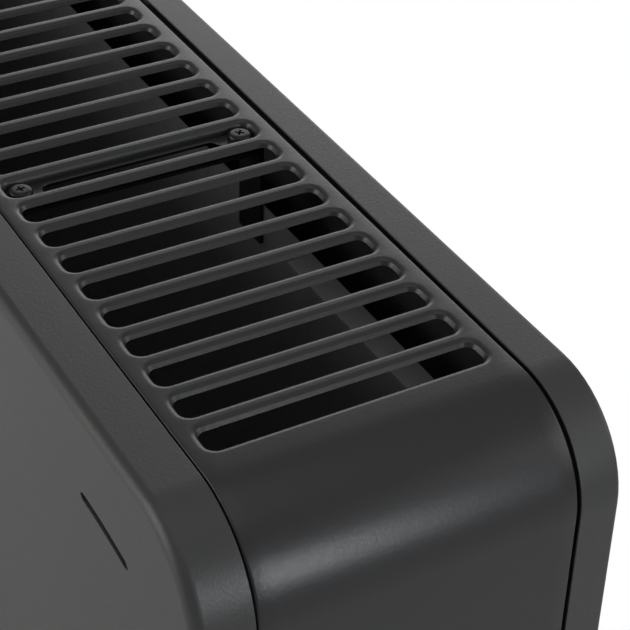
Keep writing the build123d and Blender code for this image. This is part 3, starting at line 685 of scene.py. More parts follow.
# Covers: drawn pans with a rounded edge and a flange all round
pan = {
    "cornerSteps": 14,
    "edgeSteps": 7,
    "rimZone": 0.0012,  # edges this near the cut rim, and sharper than this angle, are broken
    "rimAngle": 1.0,
    "rimRound": (0.0003, 2),
}
frontPan = {
    "flange": 0.0160,
    "edgeRound": 0.0035,
    "fieldSize": (0.262, 0.246),
    "fieldTop": 0.325,
    "fieldCorner": 0.060,
    "fieldWall": ((0.0005, -0.00012), (0.0006, -0.0004), (0.0005, -0.00048), (0.0005, -0.00048),
                  (0.0006, -0.0004), (0.0005, -0.00012)),
    "slitMiddle": (0.2126, 0.3690),
    "slitLength": 0.0288,
    "slitWidth": 0.0026,
    "slitSteps": 32,
    "slitBlunt": 0.10,
    "slitPoint": (0.6, 0.04),  # how the ends close, and the share of the width left there
    "slitBow": 0.0006,
    "slitFall": 5.0,
    "slitCut": (0.003, 0.008),
}
rearPan = {
    "flange": 0.0122,
    "edgeRound": 0.0016,
    "rimBow": 0.0010,
    "bowReach": 0.215,
    "bowCuts": (-0.8, -0.6, -0.4, -0.2, 0.0, 0.2, 0.4, 0.6, 0.8),
    "bowZone": 0.001,
    "keyholes": (-0.160, 0.160),
    "keyholeZ": 0.330,
    "keyholeHead": 0.010,
    "keyholeNeck": (0.005, 0.012),
    "vents": 12,
    "ventPitch": 0.014,
    "ventSize": (0.005, 0.042),
    "ventCorner": (0.0012, 4),
    "ventZ": 0.091,
    "cut": 0.01,
    "neckCut": 0.0101,
}


# Outline plate, its flange drawn back from it and the edge rounded
def drawnPan(name, faceY, inward, spec):
    height = case["top"] - case["bottom"]
    shell = plate(name, case["length"], height, (0, faceY, (case["top"] + case["bottom"]) / 2),
                  faceFront if inward > 0 else faceRear, case["corner"], pan["cornerSteps"])
    startEdit(shell)
    push(0, inward * spec["flange"], 0)
    bpy.ops.mesh.delete(type="FACE")
    bpy.ops.mesh.select_mode(type="EDGE")
    pick(shell, "EDGE", openAt(1, faceY))
    bpy.ops.mesh.edge_face_add()
    endEdit()
    bevelEdges(shell, beyond(1, faceY, -inward), spec["edgeRound"], pan["edgeSteps"])
    return shell


# The cut rim of the flange is broken by a small radius, so it takes a thin line of light
def softRim(shell, rim):
    def isRim(edge):
        inZone = all(abs(v.co.y - rim) < pan["rimZone"] for v in edge.verts)
        return inZone and len(edge.link_faces) == 2 and edge.calc_face_angle() > pan["rimAngle"]

    bevelEdges(shell, isRim, *pan["rimRound"])


# The rim of the top flange stands back a little towards the middle, where nothing holds it
def bowRim(shell, spec):
    startEdit(shell)
    for share in spec["bowCuts"]:
        pickAll()
        bpy.ops.mesh.bisect(plane_co=(share * spec["bowReach"], 0, 0), plane_no=(1, 0, 0))
    endEdit()
    rim = case["rearFace"] - spec["flange"]
    for vert in shell.data.vertices:
        if abs(vert.co.y - rim) < nearly and vert.co.z > case["top"] - spec["bowZone"]:
            vert.co.y += spec["rimBow"] * max(0.0, 1 - (vert.co.x / spec["bowReach"]) ** 2)


# A bowed lens, pointed at both ends
def slitCutter(spec, side):
    x, z = spec["slitMiddle"]
    half = spec["slitLength"] / 2
    closing, least = spec["slitPoint"]
    outside, depth = spec["slitCut"]
    deselectAll()
    bpy.ops.mesh.primitive_grid_add(x_subdivisions=spec["slitSteps"], y_subdivisions=1, size=1, rotation=faceFront)
    cutter = newPiece("slit", (spec["slitLength"], spec["slitWidth"], 1))
    for vert in cutter.data.vertices:
        run = vert.co.x / half
        pinch = min(1.0, max(0.0, 1 - abs(run)) / spec["slitBlunt"]) ** closing
        vert.co.z = vert.co.z * max(pinch, least) + spec["slitBow"] * (1 - run * run)
    placed(cutter, "slit", (side * x, case["frontFace"] - outside, z), (0, math.radians(spec["slitFall"]) * side, 0))
    thicken(cutter, depth)
    outward(cutter)
    return cutter


def makeFrontCover(spec):
    shell = drawnPan("frontCover", case["frontFace"], 1, spec)
    wide, tall = spec["fieldSize"]
    field = plate("field", wide, tall, (0, case["frontFace"], spec["fieldTop"] - tall / 2), faceFront,
                  spec["fieldCorner"], pan["cornerSteps"])
    startEdit(shell, "FACE", isCap)
    bpy.ops.mesh.delete(type="ONLY_FACE")
    endEdit()
    shell = joined("frontCover", [shell, field])
    startEdit(shell, "EDGE", openAt(1, case["frontFace"]))
    bpy.ops.mesh.fill(use_beauty=True)
    bpy.ops.mesh.select_mode(type="FACE")
    pick(shell, "FACE", isCap)
    for thickness, depth in spec["fieldWall"]:
        inset(thickness, depth)
    endEdit()
    outward(shell)
    thicken(shell, case["sheet"], even=True)
    softRim(shell, case["frontFace"] + spec["flange"])
    for side in (-1, 1):
        combine(shell, slitCutter(spec, side))
    dress(shell, "housing", "cover_paint", "front_cover")


def makeRearCover(spec):
    shell = drawnPan("rearCover", case["rearFace"], -1, spec)
    outward(shell)
    bowRim(shell, spec)
    thicken(shell, case["sheet"], even=True)
    softRim(shell, case["rearFace"] - spec["flange"])
    start = case["rearFace"] - spec["cut"] / 2
    for x in spec["keyholes"]:
        wide, rise = spec["keyholeNeck"]
        combine(shell, rod("head", spec["keyholeHead"] / 2, spec["cut"], (x, case["rearFace"], spec["keyholeZ"]),
                           alongY))
        combine(shell, slab("neck", wide, rise + wide, spec["neckCut"], (x, start, spec["keyholeZ"] + rise / 2),
                            faceFront, wide / 2 - hair))
    wide, tall = spec["ventSize"]
    for index in range(spec["vents"]):
        x = (index - (spec["vents"] - 1) / 2) * spec["ventPitch"]
        combine(shell, slab("vent", wide, tall, spec["cut"], (x, start, spec["ventZ"]), faceFront,
                            *spec["ventCorner"]))
    dress(shell, "housing", "cover_paint", "rear_cover")


makeFrontCover(frontPan)
makeRearCover(rearPan)
print("covers made")


# Screws: pan heads with a cross recess, modelled once for each size
screwSizes = {
    "grilleScrews": {"head": 0.0072, "height": 0.0024, "shank": 0.0032, "length": 0.0070, "node": "grille_screws",
                     "seats": [(x, y, 0.3948) for x in (-0.098, 0.098) for y in (-0.0338, 0.0368)],
                     "turn": (0, 0, 0)},
    "coverScrews": {"head": 0.0072, "height": 0.0024, "shank": 0.0032, "length": 0.0070, "node": "cover_screws",
                    "seats": [(x, y, 0.042) for x in (-0.172, 0.172) for y in (-0.048, 0.051)],
                    "turn": (math.pi, 0, 0)},
    "footScrews": {"head": 0.0080, "height": 0.0026, "shank": 0.0038, "length": 0.0140, "node": "foot_screws",
                   "seats": [(x, y, 0.036) for x in (-0.205, 0.205) for y in (-0.0265, 0.0295)],
                   "turn": (math.pi, 0, 0)},
    "thermostatScrews": {"head": 0.0056, "height": 0.0018, "shank": 0.0029, "length": 0.0070,
                         "node": "thermostat_screws",
                         "seats": [(0.2506, 0.0015, z) for z in (0.224, 0.250)], "turn": alongX},
}
# As shares of the head's radius and height, or of the shank
screwShape = {
    "headRound": (0.52, 6),
    "dish": (0.12, 0.03),
    "recess": (1.12, 0.24, 1.3),
    "recessTaper": (0.42, 0.6),
    "point": (0.3, 1),
    "endZone": 0.9,
    "sides": (40, 24),
    "turns": (24.0, 71.0, 8.0, 52.0),
}


# Head up, its seat at the origin
def makeScrew(spec, shape):
    radius, height, length = spec["head"] / 2, spec["height"], spec["length"]
    headSides, shankSides = shape["sides"]
    head = rod("screw", radius, height, (0, 0, height / 2), vertices=headSides)
    share, steps = shape["headRound"]
    bevelEdges(head, beyond(2, height * shape["endZone"]), height * share, steps)
    startEdit(head, "FACE", lambda f: isCap(f) and f.normal.z > 0)
    wide, deep = shape["dish"]
    bpy.ops.mesh.inset(thickness=radius * wide, depth=height * deep)
    endEdit()
    # Two tapered wedges at right angles make the cross recess
    long, thin, tall = shape["recess"]
    for turn in (0.0, math.pi / 2):
        wedge = block("wedge", (radius * long, radius * thin, height * tall), (0, 0, height))
        startEdit(wedge, "FACE", facing(2, -1))
        stretch(*shape["recessTaper"], 1)
        endEdit()
        combine(head, placed(wedge, "wedge", turn=(0, 0, turn)))
    shank = rod("shank", spec["shank"] / 2, length, (0, 0, -length / 2), vertices=shankSides)
    share, steps = shape["point"]
    bevelEdges(shank, beyond(2, -length * shape["endZone"], -1), spec["shank"] * share, steps)
    return joined("screw", [head, shank])


def makeScrewSet(name, spec):
    one = makeScrew(spec, screwShape)
    copies = []
    for turn, seat in zip(screwShape["turns"], spec["seats"]):
        turned = copyOf(one, "screw", turn=(0, 0, math.radians(turn)))
        copies.append(placed(turned, "screw", seat, spec["turn"]))
    bpy.data.objects.remove(one)
    whole = joined(name, copies)
    dress(whole, "housing", "black_steel", spec["node"], angle=40)


for setName, setSizes in screwSizes.items():
    makeScrewSet(setName, setSizes)
print("screws made")


# Control panel: a moulded recess with rounded mouth and floor, let into the right-hand end
panel = {
    "z": 0.215,
    "face": 0.2656,
    "floor": 0.2506,
    "back": 0.2482,
    "outline": (0.072, 0.122, 0.013),
    "shell": (0.0614, 0.1114, 0.0077),
    "edgeRound": 0.0009,
    "flangeWidth": 0.0075,
    "guard": 0.0001,
    "mouthRound": 0.0008,
    "floorRound": 0.0012,
    "roundSteps": 4,
    "cut": (0.01, 0.002),  # length of the cutters, and how far behind the floor their middle is
    "holes": ((0.00505, 0.237, 64), (0.00305, 0.209, 48), (0.0015, 0.224, 24), (0.0015, 0.250, 24)),
    "lampZ": 0.209,
    "switchY": (-0.0105, 0.0135),
    "switchZ": 0.189,
    "switchCut": (0.0132, 0.0198),
    "clip": (0.0100, 0.0014, 0.0056),
    "clipLap": 0.0002,
    "clipTaper": 0.1,
}


# A rounded plate with a wall drawn back from it to the end of the band
def walledPlate(name, sizes, x, turn, spec):
    wide, tall, corner = sizes
    obj = plate(name, wide, tall, (x, case["grilleY"], spec["z"]), turn, corner)
    startEdit(obj, "EDGE", openAt(0, x))
    drawWall(case["end"] - x)
    endEdit()
    return obj


# Snap clip behind the sheet, above or below the opening
def makeClip(spec, side):
    wide, rise, run = spec["clip"]
    tall = rise + spec["clipLap"]
    root = spec["z"] + side * (spec["shell"][1] / 2 - spec["clipLap"])
    clip = block("clip", (run, wide, tall),
                 (case["end"] - case["sheet"] - run / 2, case["grilleY"], root + side * tall / 2))
    startEdit(clip, "FACE", facing(0, -1))
    stretch(1, 1, spec["clipTaper"], (0, 0, root))
    endEdit()
    return clip


def makePanel(spec):
    shell = walledPlate("panelShell", spec["shell"], spec["back"], faceLeft, spec)
    face = walledPlate("controlPanel", spec["outline"], spec["face"], faceRight, spec)
    bevelEdges(face, beyond(0, spec["face"]), spec["edgeRound"], spec["roundSteps"])
    startEdit(face, "FACE", isCap)
    inset(spec["flangeWidth"] - spec["edgeRound"] - spec["mouthRound"] - spec["guard"])
    rollIn(spec["mouthRound"], spec["roundSteps"], spec["guard"])
    push(spec["floor"] + spec["floorRound"] - spec["face"] + spec["mouthRound"])
    rollOut(spec["floorRound"], spec["roundSteps"])
    endEdit()
    whole = joined("controlPanel", [face, shell])
    startEdit(whole, "EDGE", openAt(0, case["end"]))
    bpy.ops.mesh.bridge_edge_loops()
    endEdit()
    outward(whole)
    length, behind = spec["cut"]
    middleX = spec["floor"] - behind
    for radius, z, sides in spec["holes"]:
        combine(whole, rod("hole", radius, length, (middleX, case["grilleY"], z), alongX, sides))
    for y in spec["switchY"]:
        combine(whole, block("switchCut", (length, *spec["switchCut"]), (middleX, y, spec["switchZ"])))
    for side in (-1, 1):
        combine(whole, makeClip(spec, side), "UNION")
    dress(whole, "housing", "black_moulding", "control_panel")


makePanel(panel)
print("control panel made")


# Thermostat knob: skirt with a rolled edge, tapered crown and a grip bar between two scoops
knob = {
    "x": 0.2530,
    "z": 0.237,
    "skirtRadius": 0.0200,
    "skirt": 0.0036,
    "skirtRound": (0.0009, 5),
    "crown": (0.0175, 0.01657),
    "crownLap": 0.001,
    "height": 0.0124,
    "crownRound": (0.0010, 4),
    "scoopOffset": 0.0245,
    "scoopSize": (0.0400, 0.0480),
    "scoopDepth": 0.0076,
    "scoopTaper": 8.0,
    "scoopRound": (0.0011, 4),
    "scoopRise": 0.004,
    "bore": (0.00305, 0.00905),
    "boreLap": 0.002,
    "flat": 0.0018,
    "merge": 0.000005,
    "edges": (0.0004, 2, 50),
    "sides": (96, 40),
    "pointer": (0.0011, 0.0062, 0.0108),
    "inlay": (0.0003, 0.0001),  # the pointer's thickness, and how deep its middle lies
    "inlayEdge": 0.00008,
}


# Built on the origin, its back at z 0 and its pointer along +Y
def makeKnobBody(spec):
    outerSides, boreSides = spec["sides"]
    skirt = rod("skirt", spec["skirtRadius"], spec["skirt"], (0, 0, spec["skirt"] / 2), vertices=outerSides)
    bevelEdges(skirt, beyond(2, spec["skirt"]), *spec["skirtRound"])
    low, high = spec["crown"]
    tall = spec["height"] - spec["skirt"] + spec["crownLap"]
    crown = rod("crown", low, tall, (0, 0, spec["height"] - tall / 2), vertices=outerSides, tip=high)
    bevelEdges(crown, beyond(2, spec["height"]), *spec["crownRound"])
    combine(skirt, crown, "UNION")
    wide, long = spec["scoopSize"]
    deep = spec["scoopDepth"]
    draft = 2 * deep * math.tan(math.radians(spec["scoopTaper"]))
    for side in (-1, 1):
        scoop = block("scoop", (wide, long, deep), (side * spec["scoopOffset"], 0, spec["height"] - deep / 2))
        startEdit(scoop, "FACE", facing(2, -1))
        stretch(1 - draft / wide, 1 - draft / long, 1)
        pick(scoop, "FACE", facing(2))
        push(0, 0, spec["scoopRise"])
        endEdit()
        bevelEdges(scoop, beyond(2, spec["height"] - deep, -1), *spec["scoopRound"])
        combine(skirt, scoop)
    radius, deep = spec["bore"]
    bore = rod("bore", radius, deep + spec["boreLap"], (0, 0, (deep - spec["boreLap"]) / 2), vertices=boreSides)
    combine(bore, block("keep", (2 * radius, 2 * spec["flat"], 4 * deep), (0, radius, 0)))
    combine(skirt, bore)
    startEdit(skirt)
    bpy.ops.mesh.remove_doubles(threshold=spec["merge"])
    endEdit()
    softEdges(skirt, *spec["edges"])
    return skirt


def makeKnob(spec):
    whole = placed(makeKnobBody(spec), "thermostatKnob", (spec["x"], case["grilleY"], spec["z"]), faceRight)
    dress(whole, "thermostat", "knob_moulding", "thermostat_knob", angle=40)
    # Inlaid pointer on the upper end of the bar
    wide, near, far = spec["pointer"]
    thick, sunk = spec["inlay"]
    line = block("knobPointer", (wide, far - near, thick), (0, (near + far) / 2, 0))
    softEdges(line, spec["inlayEdge"], 2)
    place = (spec["x"] + spec["height"] - sunk, case["grilleY"], spec["z"])
    pointer = copyOf(line, "knobPointer", place, faceRight)
    bpy.data.objects.remove(line)
    dress(pointer, "thermostat", "dial_print")


makeKnob(knob)
print("knob made")


# Dial printed on the floor of the recess: numbers round the knob with a tick at each
dial = {
    "numbers": ("0", "1", "2", "3", "4", "5"),
    "step": 54.0,
    "radius": 0.0238,
    "height": 0.0046,
    "tick": (0.0207, 0.0216, 0.0005),
    "ink": 0.00006,
    "curveSteps": 6,
}


def printed(name, marks, body):
    whole = joined(name, marks)
    dress(whole, body, "dial_print", weighted=False)


# A number as a thin mesh, centred on a place of the recess floor and read from the right
def printedNumber(number, spec, at):
    deselectAll()
    bpy.ops.object.text_add(location=(0, 0, 0))
    text = bpy.context.object.data
    text.body = number
    text.size = spec["height"]
    text.extrude = spec["ink"]
    text.align_x = "CENTER"
    text.align_y = "CENTER"
    text.resolution_u = spec["curveSteps"]
    bpy.ops.object.convert(target="MESH")
    return placed(bpy.context.object, "number", at, faceRight)


def makeDial(spec):
    middleY, middleZ = case["grilleY"], knob["z"]
    near, far, wide = spec["tick"]
    marks = []
    for index, number in enumerate(spec["numbers"]):
        angle = math.radians(spec["step"] * index)
        y, z = middleY + spec["radius"] * math.sin(angle), middleZ + spec["radius"] * math.cos(angle)
        marks.append(printedNumber(number, spec, (panel["floor"], y, z)))
        tick = block("tick", (2 * spec["ink"], wide, far - near), (0, 0, (near + far) / 2))
        marks.append(placed(tick, "tick", (panel["floor"], middleY, middleZ), (-angle, 0, 0)))
    printed("dial", marks, "housing")


makeDial(dial)
print("dial made")


# Rocker switches: framed housings and dished rockers
switch = {
    "nodes": ("one", "two"),
    "bodies": ("rocker_first", "rocker_second"),
    "pivotX": 0.2485,
    "tilt": 10.0,
    "bezel": (0.0020, 0.0152, 0.0220),
    "bezelEdge": (0.0006, 4),
    "body": (0.0170, 0.0130, 0.0196),
    "bodyLap": 0.0005,
    "cavity": (0.0090, 0.0106, 0.0178),
    "cavityEdge": 0.0003,
    "pinHole": (0.00105, 0.0122),
    "pin": (0.0010, 0.0120),
    "pinSides": 24,
    "rockerWidth": 0.0102,
    "rockerHalf": 0.0079,
    "heel": 0.0050,
    "depth": 0.0030,
    "side": 0.0005,
    "reach": 0.0051,
    "dish": 0.0009,
    "dishCuts": 13,
    "rockerEdge": (0.00035, 3, 20),
    "markAt": 0.0046,
    "markSize": (0.0007, 0.0028),
    "ringSize": (0.0015, 0.0009, 32),
}


def makeHousing(spec, y, number):
    floorX, z = panel["floor"], panel["switchZ"]
    thick, wide, tall = spec["bezel"]
    front = floorX + thick
    housing = block("switchHousing", (thick, wide, tall), (floorX + thick / 2, y, z))
    bevelEdges(housing, beyond(0, front), *spec["bezelEdge"])
    deep, wide, tall = spec["body"]
    lap = spec["bodyLap"]
    combine(housing, block("body", (deep + lap, wide, tall), (floorX + (lap - deep) / 2, y, z)), "UNION")
    deep, wide, tall = spec["cavity"]
    cavity = block("cavity", (deep, wide, tall), (front - deep / 2, y, z))
    edge = spec["cavityEdge"]
    startEdit(cavity, "FACE", facing(0))
    bpy.ops.transform.translate(value=(-edge, 0, 0))
    push(edge)
    stretch(1, (wide + 2 * edge) / wide, (tall + 2 * edge) / tall)
    push(edge)
    endEdit()
    combine(housing, cavity)
    radius, length = spec["pinHole"]
    combine(housing, rod("pinHole", radius, length, (spec["pivotX"], y, z), alongY, spec["pinSides"]))
    dress(housing, "housing", "black_moulding", "switch_housing_" + number)


# Built about its pivot on the origin, then tilted with the lower end pressed in
def makeRocker(spec, place, turn, number, body):
    half, heel = spec["rockerHalf"], spec["heel"]
    rocker = plate("rocker", spec["rockerWidth"], 2 * heel, (-spec["depth"], 0, 0), faceRight)
    startEdit(rocker)
    push(spec["depth"] - spec["side"])
    stretch(1, 1, half / heel)
    push(spec["side"] + spec["reach"])
    bpy.ops.mesh.select_mode(type="EDGE")
    onFace = beyond(0, spec["reach"])
    pick(rocker, "EDGE", lambda e: onFace(e) and abs(e.verts[0].co.z - e.verts[1].co.z) > heel)
    bpy.ops.mesh.subdivide(number_cuts=spec["dishCuts"])
    endEdit()
    for vert in rocker.data.vertices:
        if vert.co.x > spec["reach"] - nearly:
            vert.co.x -= spec["dish"] * (1 - (vert.co.z / half) ** 2)
    startEdit(rocker, "EDGE", isOpen)
    bpy.ops.mesh.edge_face_add()
    endEdit()
    outward(rocker)
    softEdges(rocker, *spec["rockerEdge"])
    radius, length = spec["pin"]
    combine(rocker, rod("pin", radius, length, (0, 0, 0), alongY, spec["pinSides"]), "UNION")
    placed(rocker, "rocker" + number.title(), place, turn)
    dress(rocker, body, "rocker_moulding", "rocker_" + number)


# Marks inlaid in the dished face: a bar above, a ring below
def makeMarks(spec, place, turn, number, body):
    at, half = spec["markAt"], spec["rockerHalf"]
    slope = math.atan(2 * spec["dish"] * at / half ** 2)
    level = spec["reach"] - spec["dish"] * (1 - (at / half) ** 2)
    thick = 2 * dial["ink"]
    outer, inner, sides = spec["ringSize"]
    bar = block("bar", (thick, *spec["markSize"]))
    ring = rod("ring", outer, thick, (0, 0, 0), alongX, sides)
    combine(ring, rod("hole", inner, 2 * thick, (0, 0, 0), alongX, sides))
    for mark, side in ((bar, 1), (ring, -1)):
        placed(mark, "mark", (level, 0, side * at), (0, side * slope, 0))
        placed(mark, "mark", place, turn)
    printed("marks" + number.title(), [bar, ring], body)


for y, number, body in zip(panel["switchY"], switch["nodes"], switch["bodies"]):
    makeHousing(switch, y, number)
    place, turn = (switch["pivotX"], y, panel["switchZ"]), (0, math.radians(switch["tilt"]), 0)
    makeRocker(switch, place, turn, number, body)
    makeMarks(switch, place, turn, number, body)
print("switches made")


# Pilot lens and cord gland
lens = {
    "dome": (0.0040, 0.0016, 48),  # radius, thickness and sides
    "domeRound": (0.0013, 7),
    "tail": (0.0030, 0.0084, 40),
    "lap": 0.0004,
}
gland = {
    "z": 0.078,
    "flange": (0.0095, 0.0018, 72),
    "edge": (0.0008, 5),
    "neck": (0.0060, 0.0110, 60),
    "lap": 0.0005,
    "bore": (0.00375, 0.04, 56),
    "mouth": (0.0006, 4),
}


def makeLens(spec):
    floorX, middleY, z = panel["floor"], case["grilleY"], panel["lampZ"]
    radius, thick, sides = spec["dome"]
    dome = rod("pilotLens", radius, thick, (floorX + thick / 2, middleY, z), alongX, sides)
    bevelEdges(dome, beyond(0, floorX + thick), *spec["domeRound"])
    radius, deep, sides = spec["tail"]
    tail = rod("tail", radius, deep + spec["lap"], (floorX + (spec["lap"] - deep) / 2, middleY, z), alongX, sides)
    combine(dome, tail, "UNION")
    dress(dome, "housing", "amber_lens", "pilot_lens", angle=50)


def makeGland(spec):
    end, middleY, z = case["end"], case["grilleY"], spec["z"]
    radius, thick, sides = spec["flange"]
    flange = rod("cordGland", radius, thick, (end + thick / 2, middleY, z), alongX, sides)
    onFace = beyond(0, end + thick)
    bevelEdges(flange, onFace, *spec["edge"])
    radius, deep, sides = spec["neck"]
    neck = rod("neck", radius, deep + spec["lap"], (end + (spec["lap"] - deep) / 2, middleY, z), alongX, sides)
    combine(flange, neck, "UNION")
    radius, length, sides = spec["bore"]
    combine(flange, rod("bore", radius, length, (end, middleY, z), alongX, sides))

    def isMouth(edge):
        return onFace(edge) and all(math.hypot(v.co.y - middleY, v.co.z - z) < radius + hair for v in edge.verts)

    bevelEdges(flange, isMouth, *spec["mouth"])
    dress(flange, "housing", "black_moulding", "cord_gland", angle=40)


makeLens(lens)
makeGland(gland)
print("lens and gland made")


# Feet: moulded cross bars with round shoulders and a low arch, on rubber pads
foot = {
    "x": 0.205,
    "reach": 0.098,
    "width": 0.032,
    "bottom": 0.003,
    "top": 0.0417,
    "shoulder": (0.027, 16),
    "toe": (0.002, 4),
    "arch": (0.3535, 0.06, 360),
    "archCentre": -0.3435,
    "planCorner": (0.009, 10),
    "planCut": (0.01, 0.08),  # how far below the floor it starts, and its depth
    "merge": 0.00002,
    "flatAngle": 0.1,
    "edges": (0.0015, 4, 40),
    "boss": (-0.0430, 0.0460),
    "bossLap": 0.004,
    "wellY": (-0.0265, 0.0295),
    "well": (0.005, 0.036, 48),
    "screwHole": (0.00195, 0.02, 24),
    "pad": (0.024, 0.022, 0.003),
    "padY": 0.084,
    "padCorner": (0.003, 6),
    "padEdge": (0.0006, 3),
    "groove": (0.06, 0.0012, 0.0016),
    "grooveY": (-0.006, 0.0, 0.006),
}


def makeFootBar(spec):
    middleZ = (spec["top"] + spec["bottom"]) / 2
    bar = plate("foot", 2 * spec["reach"], spec["top"] - spec["bottom"], (0, 0, middleZ), faceRight)
    for z, sizes in ((spec["top"], spec["shoulder"]), (spec["bottom"], spec["toe"])):
        startEdit(bar, "VERT", lambda v: max(abs(abs(v.co.y) - spec["reach"]), abs(v.co.z - z)) < nearly)
        roundPicked(*sizes, "VERTICES")
        endEdit()
    thicken(bar, spec["width"], 0.0)
    outward(bar)
    radius, length, sides = spec["arch"]
    combine(bar, rod("arch", radius, length, (0, 0, spec["archCentre"]), alongX, sides))
    below, depth = spec["planCut"]
    plan = slab("plan", spec["width"], 2 * spec["reach"], depth, (0, 0, -below), (0, 0, 0), *spec["planCorner"], 1.0)
    combine(bar, plan, "INTERSECT")
    startEdit(bar)
    bpy.ops.mesh.remove_doubles(threshold=spec["merge"])
    bpy.ops.mesh.dissolve_limited(angle_limit=math.radians(spec["flatAngle"]))
    endEdit()
    softEdges(bar, *spec["edges"])
    low, high = spec["boss"]
    lap = spec["bossLap"]
    tall = case["bottom"] - spec["top"] + lap
    boss = block("boss", (spec["width"] - lap, high - low, tall), (0, (low + high) / 2, case["bottom"] - tall / 2))
    combine(bar, boss, "UNION")
    wellRadius, top, wellSides = spec["well"]
    radius, length, sides = spec["screwHole"]
    for y in spec["wellY"]:
        combine(bar, rod("well", wellRadius, top, (0, y, top / 2), vertices=wellSides))
        combine(bar, rod("hole", radius, length, (0, y, top), vertices=sides))
    return bar


def makePad(spec):
    wide, long, tall = spec["pad"]
    pad = slab("pad", wide, long, tall, (0, 0, 0), (0, 0, 0), *spec["padCorner"], 1.0)
    bevelEdges(pad, beyond(2, 0, -1), *spec["padEdge"])
    for y in spec["grooveY"]:
        combine(pad, block("groove", spec["groove"], (0, y, 0)))
    return pad


def makeFeet(spec):
    bar, pad = makeFootBar(spec), makePad(spec)
    sides = {"left": -spec["x"], "right": spec["x"]}
    for name, x in sides.items():
        one = copyOf(bar, "foot" + name.title(), (x, 0, 0))
        dress(one, "housing", "foot_moulding", "foot_" + name)
    pads = [copyOf(pad, "pad", (x, y, 0)) for x in sides.values() for y in (-spec["padY"], spec["padY"])]
    for old in (bar, pad):
        bpy.data.objects.remove(old)
    whole = joined("footPads", pads)
    dress(whole, "housing", "foot_rubber", "foot_pads")


makeFeet(foot)
print("feet made")


# Stage: floor, world, lamps and the camera at the photograph's view
stage = {
    "floorSize": 12,
    "floorColor": (0.86, 0.86, 0.86, 1),
    "floorRoughness": 0.9,
    "clearFrom": 0.01,
    "clearTo": 0.13,
    "worldStrength": 0.19,
    "cameraPlace": (0.54314, -0.19253, 0.69031),
    "cameraTurn": (0.946700, -0.023477, 1.063373),
    "lens": 109.391,
    "sensor": 36,
    "nearest": 0.01,
}


# White paper that keeps the shadow under and close round the object, and glows clear of it
def makeFloor(spec):
    deselectAll()
    bpy.ops.mesh.primitive_plane_add(size=spec["floorSize"], location=(0, 0, 0))
    floor = newPiece("floor")
    paper = bpy.data.materials.new("paperFloor")
    paper.use_nodes = True
    tree = paper.node_tree
    surface = tree.nodes["Principled BSDF"]
    setInputs(tree, surface, {"Base Color": spec["floorColor"], "Roughness": spec["floorRoughness"]})
    # distance from the footprint of the case
    distance = addNode(tree, "TexCoord", {}).outputs["Object"]
    footprint = (case["end"], case["rearFace"], 1)
    for operation, other in (("ABSOLUTE", {}), ("SUBTRACT", {1: footprint}), ("MAXIMUM", {1: (0, 0, 0)})):
        distance = addNode(tree, "VectorMath", {0: distance, **other}, operation=operation).outputs["Vector"]
    distance = addNode(tree, "VectorMath", {0: distance}, operation="LENGTH").outputs["Value"]
    clear = addNode(tree, "MapRange", {
        "Value": distance, "From Min": spec["clearFrom"], "From Max": spec["clearTo"],
    })
    rays = addNode(tree, "LightPath", {})
    glow = addNode(tree, "Emission", {})
    share = mathNode(tree, "MULTIPLY", rays.outputs["Is Camera Ray"], clear.outputs["Result"])
    mixer = addNode(tree, "MixShader", {0: share, 1: surface.outputs[0], 2: glow.outputs[0]})
    setInputs(tree, tree.nodes["Material Output"], {"Surface": mixer.outputs[0]})
    floor.data.materials.append(paper)


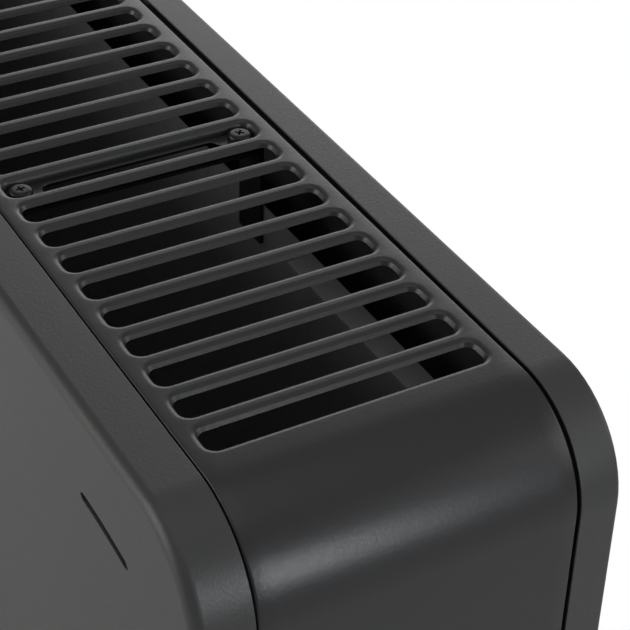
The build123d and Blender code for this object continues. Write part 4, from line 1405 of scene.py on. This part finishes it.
# White to the camera, dim to everything else
def makeWorld(spec):
    world = bpy.context.scene.world or bpy.data.worlds.new("studio")
    bpy.context.scene.world = world
    world.use_nodes = True
    tree = world.node_tree
    tree.nodes.clear()
    ambient = addNode(tree, "Background", {"Color": (1, 1, 1, 1), "Strength": spec["worldStrength"]})
    white = addNode(tree, "Background", {"Color": (1, 1, 1, 1)})
    rays = addNode(tree, "LightPath", {})
    mixer = addNode(tree, "MixShader", {
        0: rays.outputs["Is Camera Ray"], 1: ambient.outputs[0], 2: white.outputs[0],
    })
    addNode(tree, "OutputWorld", {"Surface": mixer.outputs[0]})


lamps = {
    "frontLamp": {"at": (-0.6, -1.7, 0.9), "towards": (0, 0, 0.25), "size": (1.4, 1.4), "power": 15.6,
                  "color": (1.0, 0.985, 0.97)},
    "topLamp": {"at": (0.3, 0, 2.3), "towards": (0.1, 0, 0.3), "size": (1.5, 1.5), "power": 3.4,
                "color": (1.0, 1.0, 1.0)},
    "rearLamp": {"at": (-1.50, 1.15, 0.98), "towards": (0.15, 0, 0.39), "size": (1.5, 1.05), "power": 8.0,
                 "color": (1.0, 1.0, 1.0)},
    "sideLamp": {"at": (0.75, 1.10, 0.90), "towards": (0.2, 0.05, 0.37), "size": (1.0, 0.8), "power": 4.0,
                 "color": (1.0, 1.0, 1.0)},
    "bendLamp": {"at": (0.635, 0.103, 0.484), "towards": (0.26, -0.03, 0.384), "size": (0.09, 0.17), "power": 0.43,
                 "color": (0.92, 0.96, 1.0)},
}


def makeLamp(name, spec):
    light = bpy.data.lights.new(name, "AREA")
    light.shape = "RECTANGLE"
    light.size, light.size_y = spec["size"]
    light.energy = spec["power"]
    light.color = spec["color"]
    lamp = bpy.data.objects.new(name, light)
    lamp.location = spec["at"]
    lamp.rotation_euler = (Vector(spec["towards"]) - Vector(spec["at"])).to_track_quat("-Z", "Y").to_euler()
    lamp.visible_camera = False
    bpy.context.scene.collection.objects.link(lamp)


def makeCamera(spec):
    view = bpy.data.cameras.new("photoView")
    view.sensor_width = spec["sensor"]
    view.lens = spec["lens"]
    view.clip_start = spec["nearest"]
    camera = bpy.data.objects.new("photoView", view)
    camera.location = spec["cameraPlace"]
    camera.rotation_euler = spec["cameraTurn"]
    bpy.context.scene.collection.objects.link(camera)
    bpy.context.scene.camera = camera
    bpy.context.scene.view_settings.view_transform = "Standard"


makeFloor(stage)
makeWorld(stage)
for lampName, lampSizes in lamps.items():
    makeLamp(lampName, lampSizes)
makeCamera(stage)
print("stage set")
